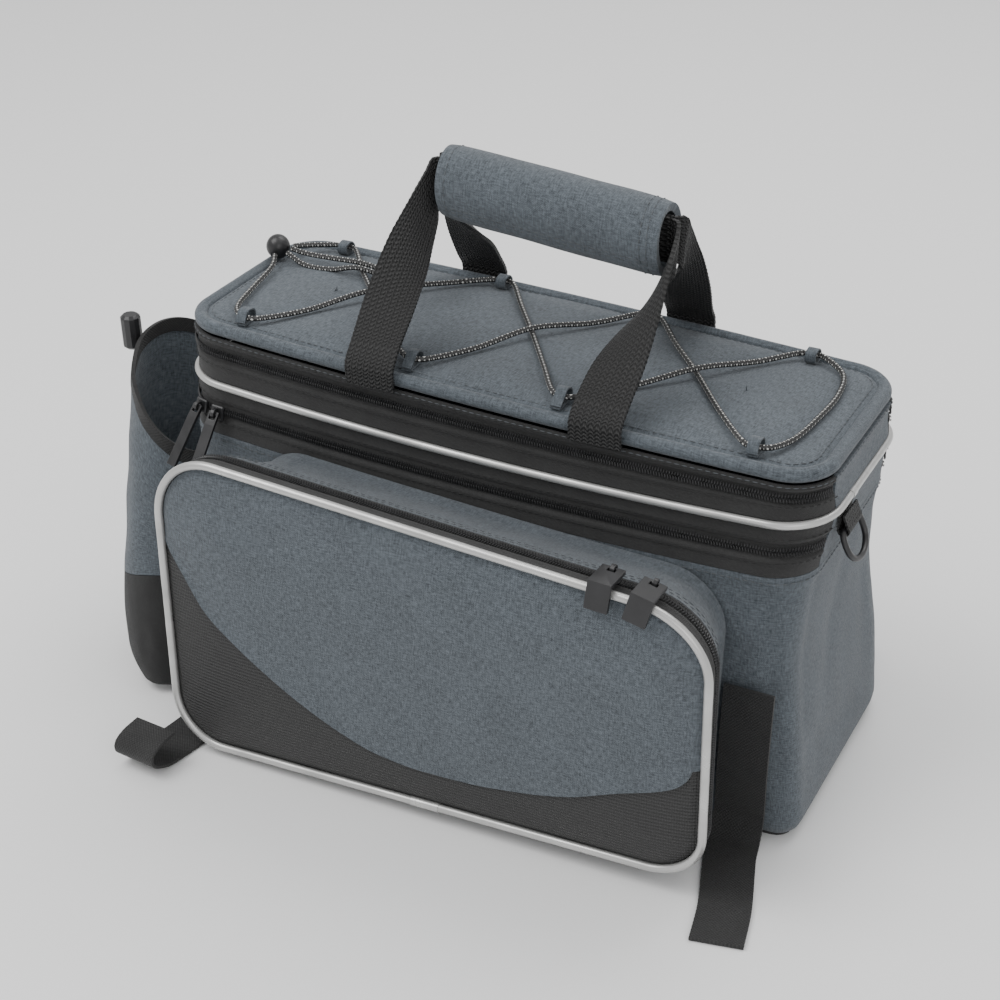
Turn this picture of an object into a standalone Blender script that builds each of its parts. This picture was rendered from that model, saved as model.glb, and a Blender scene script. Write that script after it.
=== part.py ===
"""Bicycle trunk bag: a padded box bag with a zipped lid, a front pocket and a leaning bottle pocket.

Metres, +Z up, +X to the right end, -Y towards the front pocket.
The origin is the centre of the underside of the base, where the bag sits on a rack.
"""
import math

import bmesh
import bpy
from mathutils import Matrix, Vector

# Main box
BAG_LENGTH = 0.380
LID_DEPTH = 0.131
BASE_DEPTH = 0.172
LID_HEIGHT = 0.2175
GUSSET_HEIGHT = 0.1575
PIPING_HEIGHT = 0.1850
LOWER_ZIP_HEIGHT = 0.1710
UPPER_ZIP_HEIGHT = 0.2015
LID_CORNER = 0.026
SIDE_BOW = 0.005
LID_DROOP = 0.0077
WAIST_SAG = 0.004
LID_CROWN = 0.003
LID_SINK = 0.0020
GAP = 0.0003
SEAT = 0.0006

# Cloth and trims
BODY_WALL = 0.003
BAND_WALL = 0.002
BASE_THICKNESS = 0.003
LID_THICKNESS = 0.003
LID_PIPING_RADIUS = 0.0022
HEM_RADIUS = 0.0040
COIL_WIDTH = 0.006
COIL_THICKNESS = 0.0014
END_BAND_HALF_WIDTH = 0.042

# Front pocket
POCKET_LEFT = -0.1505
POCKET_RIGHT = 0.1660
POCKET_TOP = 0.179
POCKET_BOTTOM = 0.0050
POCKET_FACE_Y = -0.1475
POCKET_CORNER = 0.038
POCKET_FOOT_CORNER = 0.030
POCKET_TUCK = 0.017
POCKET_DROOP = 0.012
POCKET_LIFT = 0.009
POCKET_LEAN = 0.007
POCKET_BULGE = 0.006
POCKET_WALL = 0.0018
POCKET_PIPING_RADIUS = 0.0023
POCKET_COIL_WIDTH = 0.006
POCKET_SEAM = 0.0008

# Bottle pocket
BOTTLE_POCKET_WALL = 0.0016
BOTTLE_SEAM_HEIGHT = 0.054
BOTTLE_RIM_HEIGHT = 0.128
BOTTLE_RIM_FRONT = (-0.190, -0.066)
BOTTLE_RIM_SLOPE_X = -0.67
BOTTLE_RIM_SLOPE_Y = 0.15
BINDING_WIDTH = 0.008
TOGGLE_RADIUS = 0.0062
TOGGLE_LENGTH = 0.022
TOGGLE_SHIFT = -0.004

# Straps, handle and cord
HANDLE_WEBBING_WIDTH = 0.029
HANDLE_WEBBING_THICKNESS = 0.002
GRIP_LENGTH = 0.1275
GRIP_CENTRE_X = 0.0155
GRIP_HEIGHT = 0.2975
GRIP_TILT = -0.097
GRIP_DEPTH = 0.035
GRIP_THICKNESS = 0.040
GRIP_WALL = 0.0045
RACK_STRAP_WIDTH = 0.0275
RACK_STRAP_THICKNESS = 0.0018
RACK_STRAP_TOP = 0.0915
CORD_RADIUS = 0.0015
LOOP_WALL = 0.0011
LOOP_LIFT = 0.0022
LOOP_CLEARANCE = 0.0013
LOOP_SLACK = 0.0030
LOOP_WIDTH = 0.0060
LOCK_RADIUS = 0.0075

# Zip hardware
SLIDER_LENGTH = 0.0085
SLIDER_WIDTH = 0.0080
SLIDER_THICKNESS = 0.0022
ARCH_HOLE = 0.0034
ARCH_WALL = 0.0012
ARCH_WIDTH = 0.0024
PULL_THICKNESS = 0.0020
PULL_BAR = 0.0018
PULL_SIDE = 0.0013
CORNER_PULL_WIDTH = 0.0066
CORNER_PULL_LENGTH = 0.030
POCKET_PULL_WIDTH = 0.0125
POCKET_PULL_LENGTH = 0.014

# Ring for a shoulder strap
RING_TAB_WIDTH = 0.020
RING_TAB_DROP = 0.010
RING_TAB_Y = -0.030
RING_WIRE = 0.0018
RING_WIDTH = 0.030
RING_DROP = 0.019

CORNER_STEPS = 4
LONG_STEPS = 7
SHORT_STEPS = 3
BOTTLE_SIDES = 20

# height (share of the lid's), half length (share of half the bag's length), depth (0 as the base,
# 1 as the lid), front corner and back corner radius (shares of the lid's corner)
WALL_ROWS = (
    (0.000, 1.015, 0.00, 0.50, 1.50),
    (0.055, 1.025, -0.06, 0.50, 1.75),
    (0.250, 1.010, 0.03, 0.60, 1.60),
    (0.500, 0.975, 0.30, 0.75, 1.40),
    (0.724, 0.985, 0.62, 0.95, 1.20),
    (0.851, 1.004, 0.93, 1.10, 1.15),
    (0.926, 1.000, 1.00, 1.00, 1.00),
    (1.100, 1.000, 1.00, 1.00, 1.00),
)

# height (share of the lid's), share of the lid's droop to the right, share of the waist's sag
SETTLE_ROWS = (
    (0.00, 0.00, 0.00),
    (0.40, 0.20, 0.00),
    (0.70, 0.55, 1.00),
    (0.86, 0.55, 1.00),
    (0.97, 1.00, 0.20),
    (1.00, 1.00, 0.00),
    (2.00, 1.00, 0.00),
)

# depth from the bag's wall (0) to the pocket's front rim (1), share of the pocket's tuck
POCKET_ROWS = (
    (0.00, 1.00),
    (0.15, 0.93),
    (0.45, 0.55),
    (0.72, 0.14),
    (0.82, 0.05),
    (1.00, 0.00),
)
POCKET_BAND_START = 0.72
POCKET_ZIP_SHARE = 0.82

# outline of the ribbed lower panel on the pocket's face, as shares of the pocket's width and height
FACE_SEAM = (
    (-0.050, 0.830), (0.044, 0.632), (0.093, 0.517), (0.147, 0.445), (0.201, 0.382), (0.275, 0.304),
    (0.355, 0.233), (0.424, 0.190), (0.504, 0.173), (0.584, 0.176), (0.684, 0.199), (0.775, 0.242),
    (0.856, 0.307), (0.949, 0.373), (0.972, 0.412), (0.980, 0.454), (1.050, 0.470),
)

# height (share of the lid's), centre x and y, half length and half depth, all shares of the bag's
# half length: the pocket leans, its foot towards the front
BOTTLE_ROWS = (
    (0.012, -1.010, -0.470, 0.080, 0.135),
    (0.030, -1.025, -0.460, 0.115, 0.175),
    (0.110, -1.055, -0.425, 0.155, 0.200),
    (0.260, -1.100, -0.330, 0.172, 0.215),
    (0.500, -1.140, -0.195, 0.178, 0.220),
    (0.800, -1.165, -0.070, 0.182, 0.215),
    (1.020, -1.180, -0.005, 0.180, 0.210),
)

# one leg of a handle strap, from the lid's edge to the grip: shares of the way in x, y and z, and
# the webbing's turn in degrees
LEG_ROWS = (
    (0.00, 0.000, -0.120, 0),
    (0.00, -0.004, -0.050, 0),
    (0.00, 0.004, 0.030, 0),
    (0.05, 0.110, 0.150, 0),
    (0.25, 0.320, 0.365, 12),
    (0.50, 0.560, 0.590, 40),
    (0.75, 0.760, 0.770, 66),
    (0.93, 0.900, 0.900, 79),
    (1.00, 0.955, 0.970, 86),
)

# route of the elastic over the lid: x, y, lift over the lid's surface beyond lying on it
CORD_ROUTE = (
    (-0.1790, 0.0195, 0.0045),
    (-0.1740, 0.0080, 0.0020),
    (-0.1690, -0.0180, 0.0010),
    (-0.1640, -0.0400, 0.0012),
    (-0.1580, -0.0510, 0.0020),
    (-0.1510, -0.0540, 0.0022),
    (-0.1430, -0.0530, 0.0019),
    (-0.1250, -0.0300, 0.0006),
    (-0.1020, 0.0030, 0.0038),
    (-0.0700, 0.0430, 0.0010),
    (-0.0540, 0.0560, 0.0020),
    (-0.0465, 0.0585, 0.0022),
    (-0.0390, 0.0555, 0.0019),
    (-0.0230, 0.0330, 0.0006),
    (-0.0010, 0.0030, 0.0002),
    (0.0210, -0.0280, 0.0006),
    (0.0370, -0.0510, 0.0020),
    (0.0440, -0.0535, 0.0022),
    (0.0510, -0.0510, 0.0019),
    (0.0720, -0.0250, 0.0006),
    (0.0960, 0.0030, 0.0038),
    (0.1180, 0.0320, 0.0010),
    (0.1340, 0.0525, 0.0020),
    (0.1420, 0.0560, 0.0022),
    (0.1500, 0.0545, 0.0019),
    (0.1630, 0.0430, 0.0002),
    (0.1680, 0.0180, 0.0002),
    (0.1670, -0.0100, 0.0002),
    (0.1640, -0.0350, 0.0004),
    (0.1580, -0.0510, 0.0019),
    (0.1500, -0.0545, 0.0022),
    (0.1420, -0.0520, 0.0019),
    (0.1190, -0.0260, 0.0004),
    (0.0960, 0.0030, 0.0002),
    (0.0720, 0.0310, 0.0006),
    (0.0540, 0.0545, 0.0020),
    (0.0464, 0.0590, 0.0022),
    (0.0390, 0.0560, 0.0019),
    (0.0220, 0.0320, 0.0008),
    (-0.0010, 0.0030, 0.0038),
    (-0.0200, -0.0270, 0.0008),
    (-0.0365, -0.0510, 0.0020),
    (-0.0440, -0.0540, 0.0022),
    (-0.0515, -0.0515, 0.0019),
    (-0.0770, -0.0280, 0.0006),
    (-0.1020, 0.0030, 0.0002),
    (-0.1260, 0.0310, 0.0004),
    (-0.1435, 0.0530, 0.0021),
    (-0.1510, 0.0555, 0.0022),
    (-0.1585, 0.0543, 0.0023),
    (-0.1690, 0.0460, 0.0030),
    (-0.1765, 0.0365, 0.0045),
)
TAIL_ROUTES = (
    ((-0.1735, 0.0290, 0.0060), (-0.1620, 0.0300, 0.0042), (-0.1450, 0.0310, 0.0042),
     (-0.1270, 0.0330, 0.0042), (-0.1100, 0.0360, 0.0008), (-0.1000, 0.0385, 0.0004)),
    ((-0.1735, 0.0245, 0.0050), (-0.1600, 0.0225, 0.0004), (-0.1430, 0.0235, 0.0004),
     (-0.1260, 0.0255, 0.0042), (-0.1100, 0.0290, 0.0010), (-0.1000, 0.0315, 0.0004)),
)
LOCK_CENTRE = (-0.1820, 0.0280, 0.0003)
FRONT_LOOPS = (-0.1510, -0.0440, 0.0440, 0.1500)
BACK_LOOPS = (-0.1510, -0.0465, 0.0464, 0.1420)
FRONT_LOOP_CORD_Y = (-0.0540, -0.0540, -0.0535, -0.0545)
BACK_LOOP_CORD_Y = (0.0555, 0.0585, 0.0590, 0.0560)
CORD_SPAN = 0.0155
TAIL_SPAN = 0.009
STRAP_SPAN = 0.010

# left and right foot of each handle strap at the lid's edge, and its reach past the grip's ends
FRONT_FEET_X = (-0.0605, 0.0710)
BACK_FEET_X = (-0.0670, 0.0640)
LEG_OUTREACH = 0.0060


def row_at(rows, share):
    """Values of a table's columns at a share, between its rows."""
    for lower, upper in zip(rows, rows[1:]):
        if share <= upper[0] or upper is rows[-1]:
            way = (share - lower[0]) / (upper[0] - lower[0])
            return [a + (b - a) * way for a, b in zip(lower[1:], upper[1:])]


def rounded_outline(left, right, low, high, radii, bow=0.0, bow_high=0.0):
    """Outline with four round corners, anticlockwise from the right side's upper end."""
    middle = (left + right) / 2
    half = (right - left) / 2
    centre = (low + high) / 2
    corners = ((right, high), (left, high), (left, low), (right, low))
    sides = (LONG_STEPS, SHORT_STEPS, LONG_STEPS, SHORT_STEPS)
    arcs = []
    for index, ((u, v), radius) in enumerate(zip(corners, radii)):
        hub = Vector((u - math.copysign(radius, u - middle), v - math.copysign(radius, v - centre)))
        arc = []
        for step in range(CORNER_STEPS + 1):
            angle = math.radians(90 * (index + step / CORNER_STEPS))
            arc.append(hub + radius * Vector((math.cos(angle), math.sin(angle))))
        arcs.append(arc)
    points = []
    for index, arc in enumerate(arcs):
        points += arc
        following = arcs[(index + 1) % 4][0]
        steps = sides[index]
        points += [arc[-1].lerp(following, step / steps) for step in range(1, steps)]
    bowed = []
    for point in points:
        share = 1 - ((point.x - middle) / half) ** 2
        push = -bow * share if point.y < centre else bow_high * share
        bowed.append((point.x, point.y + push))
    return bowed


def wall_sizes(height):
    """Half length, half depth and the two corner radii of the bag's wall at a height."""
    length, depth, front, back = row_at(WALL_ROWS, height / LID_HEIGHT)
    half_depth = (BASE_DEPTH + (LID_DEPTH - BASE_DEPTH) * depth) / 2
    return BAG_LENGTH / 2 * length, half_depth, LID_CORNER * front, LID_CORNER * back


def wall_outline(height, offset=0.0):
    """Points round the bag's wall at a height, moved out by an offset."""
    half_length, half_depth, front, back = wall_sizes(height)
    half_length += offset
    half_depth += offset
    radii = (back + offset, back + offset, front + offset, front + offset)
    return rounded_outline(-half_length, half_length, -half_depth, half_depth, radii, SIDE_BOW, SIDE_BOW)


def settle(x, height):
    """Height of a point after the soft bag has settled."""
    droop, sag = row_at(SETTLE_ROWS, height / LID_HEIGHT)
    along = x / (BAG_LENGTH / 2)
    return height - droop * LID_DROOP * along - sag * WAIST_SAG * (1 - along * along)


def wall_ring(height, offset=0.0):
    return [(x, y, settle(x, height)) for x, y in wall_outline(height, offset)]


def front_wall_y(x, height):
    """Front of the bag's wall at a place along it."""
    half_length, half_depth, _, _ = wall_sizes(height)
    return -half_depth - SIDE_BOW * (1 - (x / half_length) ** 2)


def lid_surface(x, y):
    """Height of the lid's padded top."""
    along = min(1.0, abs(x) / (BAG_LENGTH / 2))
    across = min(1.0, abs(y) / (LID_DEPTH / 2))
    crown = LID_CROWN * (1 - along ** 4) * (1 - across ** 2)
    return settle(x, LID_HEIGHT) - LID_SINK + crown


def clear_scene():
    for item in list(bpy.data.objects):
        bpy.data.objects.remove(item, do_unlink=True)


def make_collection(name):
    collection = bpy.data.collections.new(name)
    bpy.context.scene.collection.children.link(collection)
    return collection


def make_material(name, colour, roughness, metallic=0.0):
    material = bpy.data.materials.new(name)
    material.use_nodes = True
    shader = material.node_tree.nodes["Principled BSDF"]
    shader.inputs["Base Color"].default_value = (*colour, 1.0)
    shader.inputs["Roughness"].default_value = roughness
    shader.inputs["Metallic"].default_value = metallic
    material.diffuse_color = (*colour, 1.0)
    return material


def add_object(name, data, look, collection=None):
    item = bpy.data.objects.new(name, data)
    (collection or PARTS).objects.link(item)
    if look is not None:
        data.materials.append(make_material(name, *look))
    return item


def loft(name, rows, look, closed=True, cap_first=False, cap_last=False, collection=None):
    """Surface through rows of points; closed rows join their ends."""
    shape = bmesh.new()
    made = [[shape.verts.new(point) for point in row] for row in rows]
    for first, second in zip(made, made[1:]):
        count = len(first)
        for index in range(count if closed else count - 1):
            after = (index + 1) % count
            shape.faces.new((first[index], first[after], second[after], second[index]))
    if cap_first:
        shape.faces.new(list(reversed(made[0])))
    if cap_last:
        shape.faces.new(made[-1])
    mesh = bpy.data.meshes.new(name)
    shape.to_mesh(mesh)
    shape.free()
    item = add_object(name, mesh, look, collection)
    mesh.shade_smooth()
    mesh.set_sharp_from_angle(angle=math.radians(40))
    return item


def thicken(item, thickness, offset=-1.0):
    wall = item.modifiers.new("wall", 'SOLIDIFY')
    wall.thickness = thickness
    wall.offset = offset
    wall.use_even_offset = True
    return item


def cut(item, cutter, operation='DIFFERENCE'):
    step = item.modifiers.new(operation.lower(), 'BOOLEAN')
    step.operation = operation
    step.object = cutter
    step.solver = 'EXACT'
    return item


def as_cutter(item):
    item.hide_render = True
    item.display_type = 'WIRE'
    return item


def box(name, low, high, look=None, collection=None):
    """Box between two corners, from a primitive cube."""
    mesh = bpy.data.meshes.new(name)
    shape = bmesh.new()
    bmesh.ops.create_cube(shape, size=1.0)
    size = Vector(high) - Vector(low)
    centre = (Vector(high) + Vector(low)) / 2
    bmesh.ops.scale(shape, vec=size, verts=shape.verts)
    bmesh.ops.translate(shape, vec=centre, verts=shape.verts)
    shape.to_mesh(mesh)
    shape.free()
    return add_object(name, mesh, look, collection)


def cutter_box(name, low, high):
    return as_cutter(box(name, low, high, None, CUTTERS))


def tube(name, points, radius, look, cyclic=False, sides=2):
    """Round tube along points, as a bevelled curve."""
    curve = bpy.data.curves.new(name, 'CURVE')
    curve.dimensions = '3D'
    curve.bevel_depth = radius
    curve.bevel_resolution = sides
    curve.use_fill_caps = not cyclic
    spline = curve.splines.new('POLY')
    spline.points.add(len(points) - 1)
    for slot, point in zip(spline.points, points):
        slot.co = (*point, 1.0)
    spline.use_cyclic_u = cyclic
    return add_object(name, curve, look)


def plate(name, outlines, thickness, look, collection=None):
    """Flat outlines, the later ones holes, extruded along local X, as a mesh.

    The outlines are in the local YZ plane.
    """
    curve = bpy.data.curves.new(name + "_outline", 'CURVE')
    curve.dimensions = '2D'
    curve.fill_mode = 'BOTH'
    curve.extrude = thickness / 2
    for outline in outlines:
        spline = curve.splines.new('POLY')
        spline.points.add(len(outline) - 1)
        for slot, (u, v) in zip(spline.points, outline):
            slot.co = (u, v, 0.0, 1.0)
        spline.use_cyclic_u = True
    guide = bpy.data.objects.new(name + "_outline", curve)
    CUTTERS.objects.link(guide)
    bpy.context.view_layer.update()
    graph = bpy.context.evaluated_depsgraph_get()
    mesh = bpy.data.meshes.new_from_object(guide.evaluated_get(graph))
    bpy.data.objects.remove(guide, do_unlink=True)
    mesh.name = name
    shape = bmesh.new()
    shape.from_mesh(mesh)
    bmesh.ops.remove_doubles(shape, verts=shape.verts, dist=0.00001)
    turn = Matrix(((0, 0, 1, 0), (1, 0, 0, 0), (0, 1, 0, 0), (0, 0, 0, 1)))
    bmesh.ops.transform(shape, matrix=turn, verts=shape.verts)
    bmesh.ops.recalc_face_normals(shape, faces=shape.faces)
    shape.to_mesh(mesh)
    shape.free()
    mesh.materials.clear()
    return add_object(name, mesh, look, collection)


def smooth_path(points, span):
    """Points of a smooth curve: each given one, and more between those that are far apart."""
    knots = [Vector(point) for point in points]
    knots = [2 * knots[0] - knots[1]] + knots + [2 * knots[-1] - knots[-2]]
    path = []
    for a, b, c, d in zip(knots, knots[1:], knots[2:], knots[3:]):
        steps = max(1, round((c - b).length / span))
        for t in [step / steps for step in range(steps)]:
            path.append(0.5 * (2 * b + (c - a) * t + (2 * a - 5 * b + 4 * c - d) * t * t
                               + (3 * b - a - 3 * c + d) * t ** 3))
    path.append(knots[-2])
    return path


def ribbon(name, centres, widths, thickness, look):
    """Flat webbing along centres, each with its half-width vector."""
    rails = [[centre - half, centre + half] for centre, half in zip(centres, widths)]
    return thicken(loft(name, rails, look, closed=False), thickness, offset=0.0)


GREY_CLOTH = ((0.075, 0.085, 0.098), 0.90)
BLACK_CLOTH = ((0.016, 0.016, 0.016), 0.85)
BLACK_WEBBING = ((0.012, 0.012, 0.012), 0.80)
BLACK_PLASTIC = ((0.010, 0.010, 0.011), 0.35)
SILVER_PIPING = ((0.45, 0.45, 0.44), 0.35)
ZIP_COIL = ((0.014, 0.014, 0.014), 0.45)


def build_body():
    rows = [wall_ring(LID_HEIGHT * share) for share in (0.055, 0.25, 0.50, 0.60)]
    bottom = BASE_THICKNESS + GAP
    rows.insert(0, [(x, y, bottom) for x, y in wall_outline(bottom, -0.003)])
    rows.append(wall_ring(GUSSET_HEIGHT))
    thicken(loft("body_shell", rows, GREY_CLOTH, cap_first=True), BODY_WALL)
    base = [[(x, y, height) for x, y in wall_outline(0.0, -0.004)] for height in (0.0, BASE_THICKNESS)]
    loft("base_panel", base, BLACK_PLASTIC, cap_first=True, cap_last=True)


def end_cutter(name, low, high, margin):
    """Box round the right end's grey band."""
    reach = BAG_LENGTH / 2
    half = END_BAND_HALF_WIDTH - margin
    return cutter_box(name, (reach * 0.9, -half, low), (reach * 1.2, half, high))


def build_bands():
    """Dark zip bands over and under the piping, with a grey stretch at the right end."""
    seam = LID_PIPING_RADIUS + GAP
    hem_foot = LID_HEIGHT - 2 * HEM_RADIUS - GAP
    bands = (
        ("lower", GUSSET_HEIGHT + GAP, LOWER_ZIP_HEIGHT, PIPING_HEIGHT - seam),
        ("upper", PIPING_HEIGHT + seam, UPPER_ZIP_HEIGHT, hem_foot),
    )
    for level, foot, zip_height, top in bands:
        coil = (zip_height - COIL_WIDTH / 2, zip_height + COIL_WIDTH / 2)
        rows = [wall_ring(height) for height in (foot, zip_height, top)]
        outer = end_cutter(level + "_end_cut", foot - 0.02, top + 0.02, 0.0)
        inner = end_cutter(level + "_end_keep", foot - 0.02, top + 0.02, GAP)
        dark = thicken(loft(level + "_zip_band", rows, BLACK_CLOTH), BAND_WALL)
        cut(dark, outer)
        grey = thicken(loft(level + "_end_band", rows, GREY_CLOTH), BAND_WALL)
        cut(grey, inner, 'INTERSECT')
        strip = [wall_ring(height, GAP) for height in coil]
        teeth = thicken(loft(level + "_zip_coil", strip, ZIP_COIL), COIL_THICKNESS, offset=1.0)
        cut(teeth, outer)
    tube("lid_piping", wall_ring(PIPING_HEIGHT, GAP), LID_PIPING_RADIUS, SILVER_PIPING, cyclic=True, sides=1)


def build_lid():
    hem_height = LID_HEIGHT - HEM_RADIUS
    tube("lid_hem", wall_ring(hem_height, -HEM_RADIUS), HEM_RADIUS, GREY_CLOTH, cyclic=True, sides=1)
    edge = 2 * HEM_RADIUS + GAP
    rows = []
    for inset in (0.0, 0.014, 0.040):
        sink = LID_SINK * 0.5 if inset == 0.0 else 0.0
        ring = wall_outline(LID_HEIGHT, -edge - inset) if inset < 0.016 else inner_outline(edge + inset)
        rows.append([(x, y, lid_surface(x, y) - sink) for x, y in ring])
    thicken(loft("lid_panel", rows, GREY_CLOTH, cap_last=True), LID_THICKNESS)


def inner_outline(inset):
    """Outline of the lid far inside its hem, where its corners have small radii."""
    half_length, half_depth, _, _ = wall_sizes(LID_HEIGHT)
    radius = LID_CORNER * 0.25
    return rounded_outline(-half_length + inset, half_length - inset, -half_depth + inset,
                           half_depth - inset, (radius,) * 4)


def pocket_settle(x, z):
    """Height after the pocket's top has drooped to the right and its foot has lifted there."""
    rightward = (x - POCKET_LEFT) / (POCKET_RIGHT - POCKET_LEFT)
    rise = z / POCKET_TOP
    return z - POCKET_DROOP * rise * x / (BAG_LENGTH / 2) + POCKET_LIFT * rightward * (1 - rise)


def pocket_face_y(x, z):
    """Front of the pocket, whose left foot leans out."""
    leftward = (POCKET_RIGHT - x) / (POCKET_RIGHT - POCKET_LEFT)
    return POCKET_FACE_Y - POCKET_LEAN * leftward * (1 - z / POCKET_TOP)


def pocket_outline(tuck, inset=0.0):
    shrink = POCKET_TUCK * tuck
    top = POCKET_TOP - inset - shrink * 1.35
    radii = []
    for corner in (POCKET_CORNER, POCKET_CORNER, POCKET_FOOT_CORNER, POCKET_FOOT_CORNER):
        radii.append(max(corner - inset - shrink * 0.3, GUSSET_HEIGHT * 0.03))
    return rounded_outline(POCKET_LEFT + shrink + inset, POCKET_RIGHT - shrink - inset,
                           POCKET_BOTTOM + inset, top, radii)


def pocket_ring(share, offset=0.0):
    """Points round the pocket at a share of its depth."""
    tuck = row_at(POCKET_ROWS, share)[0]
    ring = []
    for x, flat_z in pocket_outline(tuck, -offset):
        z = pocket_settle(x, flat_z)
        wall = front_wall_y(x, min(z, GUSSET_HEIGHT)) - SEAT
        ring.append((x, wall + (pocket_face_y(x, flat_z) - wall) * share, z))
    return ring


def moved(ring, y):
    return [(x, old_y + y, z) for x, old_y, z in ring]


def build_front_pocket():
    shares = [row[0] for row in POCKET_ROWS if row[0] <= POCKET_BAND_START]
    gusset = [pocket_ring(share) for share in shares]
    thicken(loft("pocket_gusset", gusset, GREY_CLOTH), POCKET_WALL)
    seam = POCKET_PIPING_RADIUS + GAP
    band = [moved(pocket_ring(POCKET_BAND_START), -POCKET_SEAM), pocket_ring(POCKET_ZIP_SHARE),
            moved(pocket_ring(1.0), seam)]
    thicken(loft("pocket_zip_band", band, BLACK_CLOTH), POCKET_WALL)
    start = moved(pocket_ring(POCKET_ZIP_SHARE, SEAT), 0.0)
    strip = [moved(start, POCKET_COIL_WIDTH * 0.4), moved(start, -POCKET_COIL_WIDTH * 0.4)]
    coil = thicken(loft("pocket_zip_coil", strip, ZIP_COIL), COIL_THICKNESS, offset=1.0)
    cut(coil, cutter_box("coil_left_cut", (POCKET_LEFT - 0.05, -0.3, -0.1),
                         (POCKET_LEFT + 0.006, 0.0, POCKET_TOP * 0.82)))
    cut(coil, cutter_box("coil_foot_cut", (POCKET_LEFT - 0.06, -0.3, -0.1),
                         (POCKET_RIGHT - 0.004, 0.0, POCKET_TOP * 0.5)))
    tube("pocket_piping", pocket_ring(1.0), POCKET_PIPING_RADIUS, SILVER_PIPING, cyclic=True,
         sides=1)
    build_pocket_face(seam)


def build_pocket_face(seam):
    """Bulging face, cut along a curved seam into grey cloth and a ribbed lower panel."""
    rows = []
    for inset, bulge in ((seam, 0.0), (seam + 0.010, 0.45), (seam + 0.036, 1.0)):
        ring = pocket_outline(0.0, inset)
        rows.append([(x, pocket_face_y(x, z) - POCKET_BULGE * bulge, pocket_settle(x, z))
                     for x, z in ring])
    width = POCKET_RIGHT - POCKET_LEFT
    seam_points = [(POCKET_LEFT + u * width, v * POCKET_TOP) for u, v in FACE_SEAM]
    frame = ((POCKET_RIGHT + 0.05, -0.05), (POCKET_LEFT - 0.05, -0.05))
    shift = 2 * GAP
    for name, look, rise, operation in (
            ("pocket_face_upper", GREY_CLOTH, shift, 'DIFFERENCE'),
            ("pocket_face_lower", BLACK_CLOTH, 0.0, 'INTERSECT')):
        outline = [(-x, z + rise) for x, z in seam_points] + [(-x, z) for x, z in frame]
        cutter = as_cutter(plate(name + "_cut", [outline], 0.1, None, CUTTERS))
        cutter.rotation_euler = (0, 0, math.radians(90))
        cutter.location = (0, POCKET_FACE_Y, 0)
        cut(thicken(loft(name, rows, look, cap_last=True), POCKET_WALL), cutter, operation)


def bottle_ring(height, offset=0.0):
    x, y, half_x, half_y = [value * BAG_LENGTH / 2 for value in row_at(BOTTLE_ROWS, height / LID_HEIGHT)]
    ring = []
    for step in range(BOTTLE_SIDES):
        angle = 2 * math.pi * step / BOTTLE_SIDES
        ring.append((x + (half_x + offset) * math.cos(angle), y + (half_y + offset) * math.sin(angle),
                     height))
    return ring


def rim_cutter(name, drop, above):
    """Large slab above or below the pocket's slanted rim."""
    size = 0.4
    low, high = (0.0, size) if above else (-size, 0.0)
    slab = cutter_box(name, (-size, -size, low), (size, size, high))
    normal = Vector((-BOTTLE_RIM_SLOPE_X, -BOTTLE_RIM_SLOPE_Y, 1.0)).normalized()
    slab.rotation_mode = 'QUATERNION'
    slab.rotation_quaternion = Vector((0, 0, 1)).rotation_difference(normal)
    slab.location = Vector((*BOTTLE_RIM_FRONT, BOTTLE_RIM_HEIGHT)) - normal * drop
    return slab


def build_bottle_pocket():
    heights = [row[0] * LID_HEIGHT for row in BOTTLE_ROWS]
    seam_index = 3
    lower_rows = [bottle_ring(height) for height in heights[:seam_index]]
    lower_rows.append(bottle_ring(BOTTLE_SEAM_HEIGHT))
    upper_rows = [bottle_ring(BOTTLE_SEAM_HEIGHT + GAP)]
    upper_rows += [bottle_ring(height) for height in heights[seam_index:]]
    levels = [LID_HEIGHT * row[0] for row in WALL_ROWS[:-1]]
    clear = [wall_ring(height, SEAT) for height in levels]
    clear.insert(0, [(x, y, -0.05) for x, y, _ in clear[0]])
    body = as_cutter(loft("body_clearance", clear, None, cap_first=True, cap_last=True,
                          collection=CUTTERS))
    foot = loft("bottle_pocket_lower", lower_rows, BLACK_CLOTH, cap_first=True)
    cut(thicken(foot, BOTTLE_POCKET_WALL), body)
    above_rim = rim_cutter("above_binding", BINDING_WIDTH, True)
    wall = thicken(loft("bottle_pocket_upper", upper_rows, GREY_CLOTH), BOTTLE_POCKET_WALL)
    cut(wall, above_rim)
    cut(wall, body)
    below_binding = rim_cutter("below_binding", BINDING_WIDTH - GAP, False)
    over_rim = rim_cutter("over_rim", 0.0, True)
    binding = thicken(loft("bottle_pocket_binding", upper_rows, BLACK_CLOTH), BOTTLE_POCKET_WALL)
    cut(binding, below_binding)
    cut(binding, over_rim)
    cut(binding, body)
    build_toggle()


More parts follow.
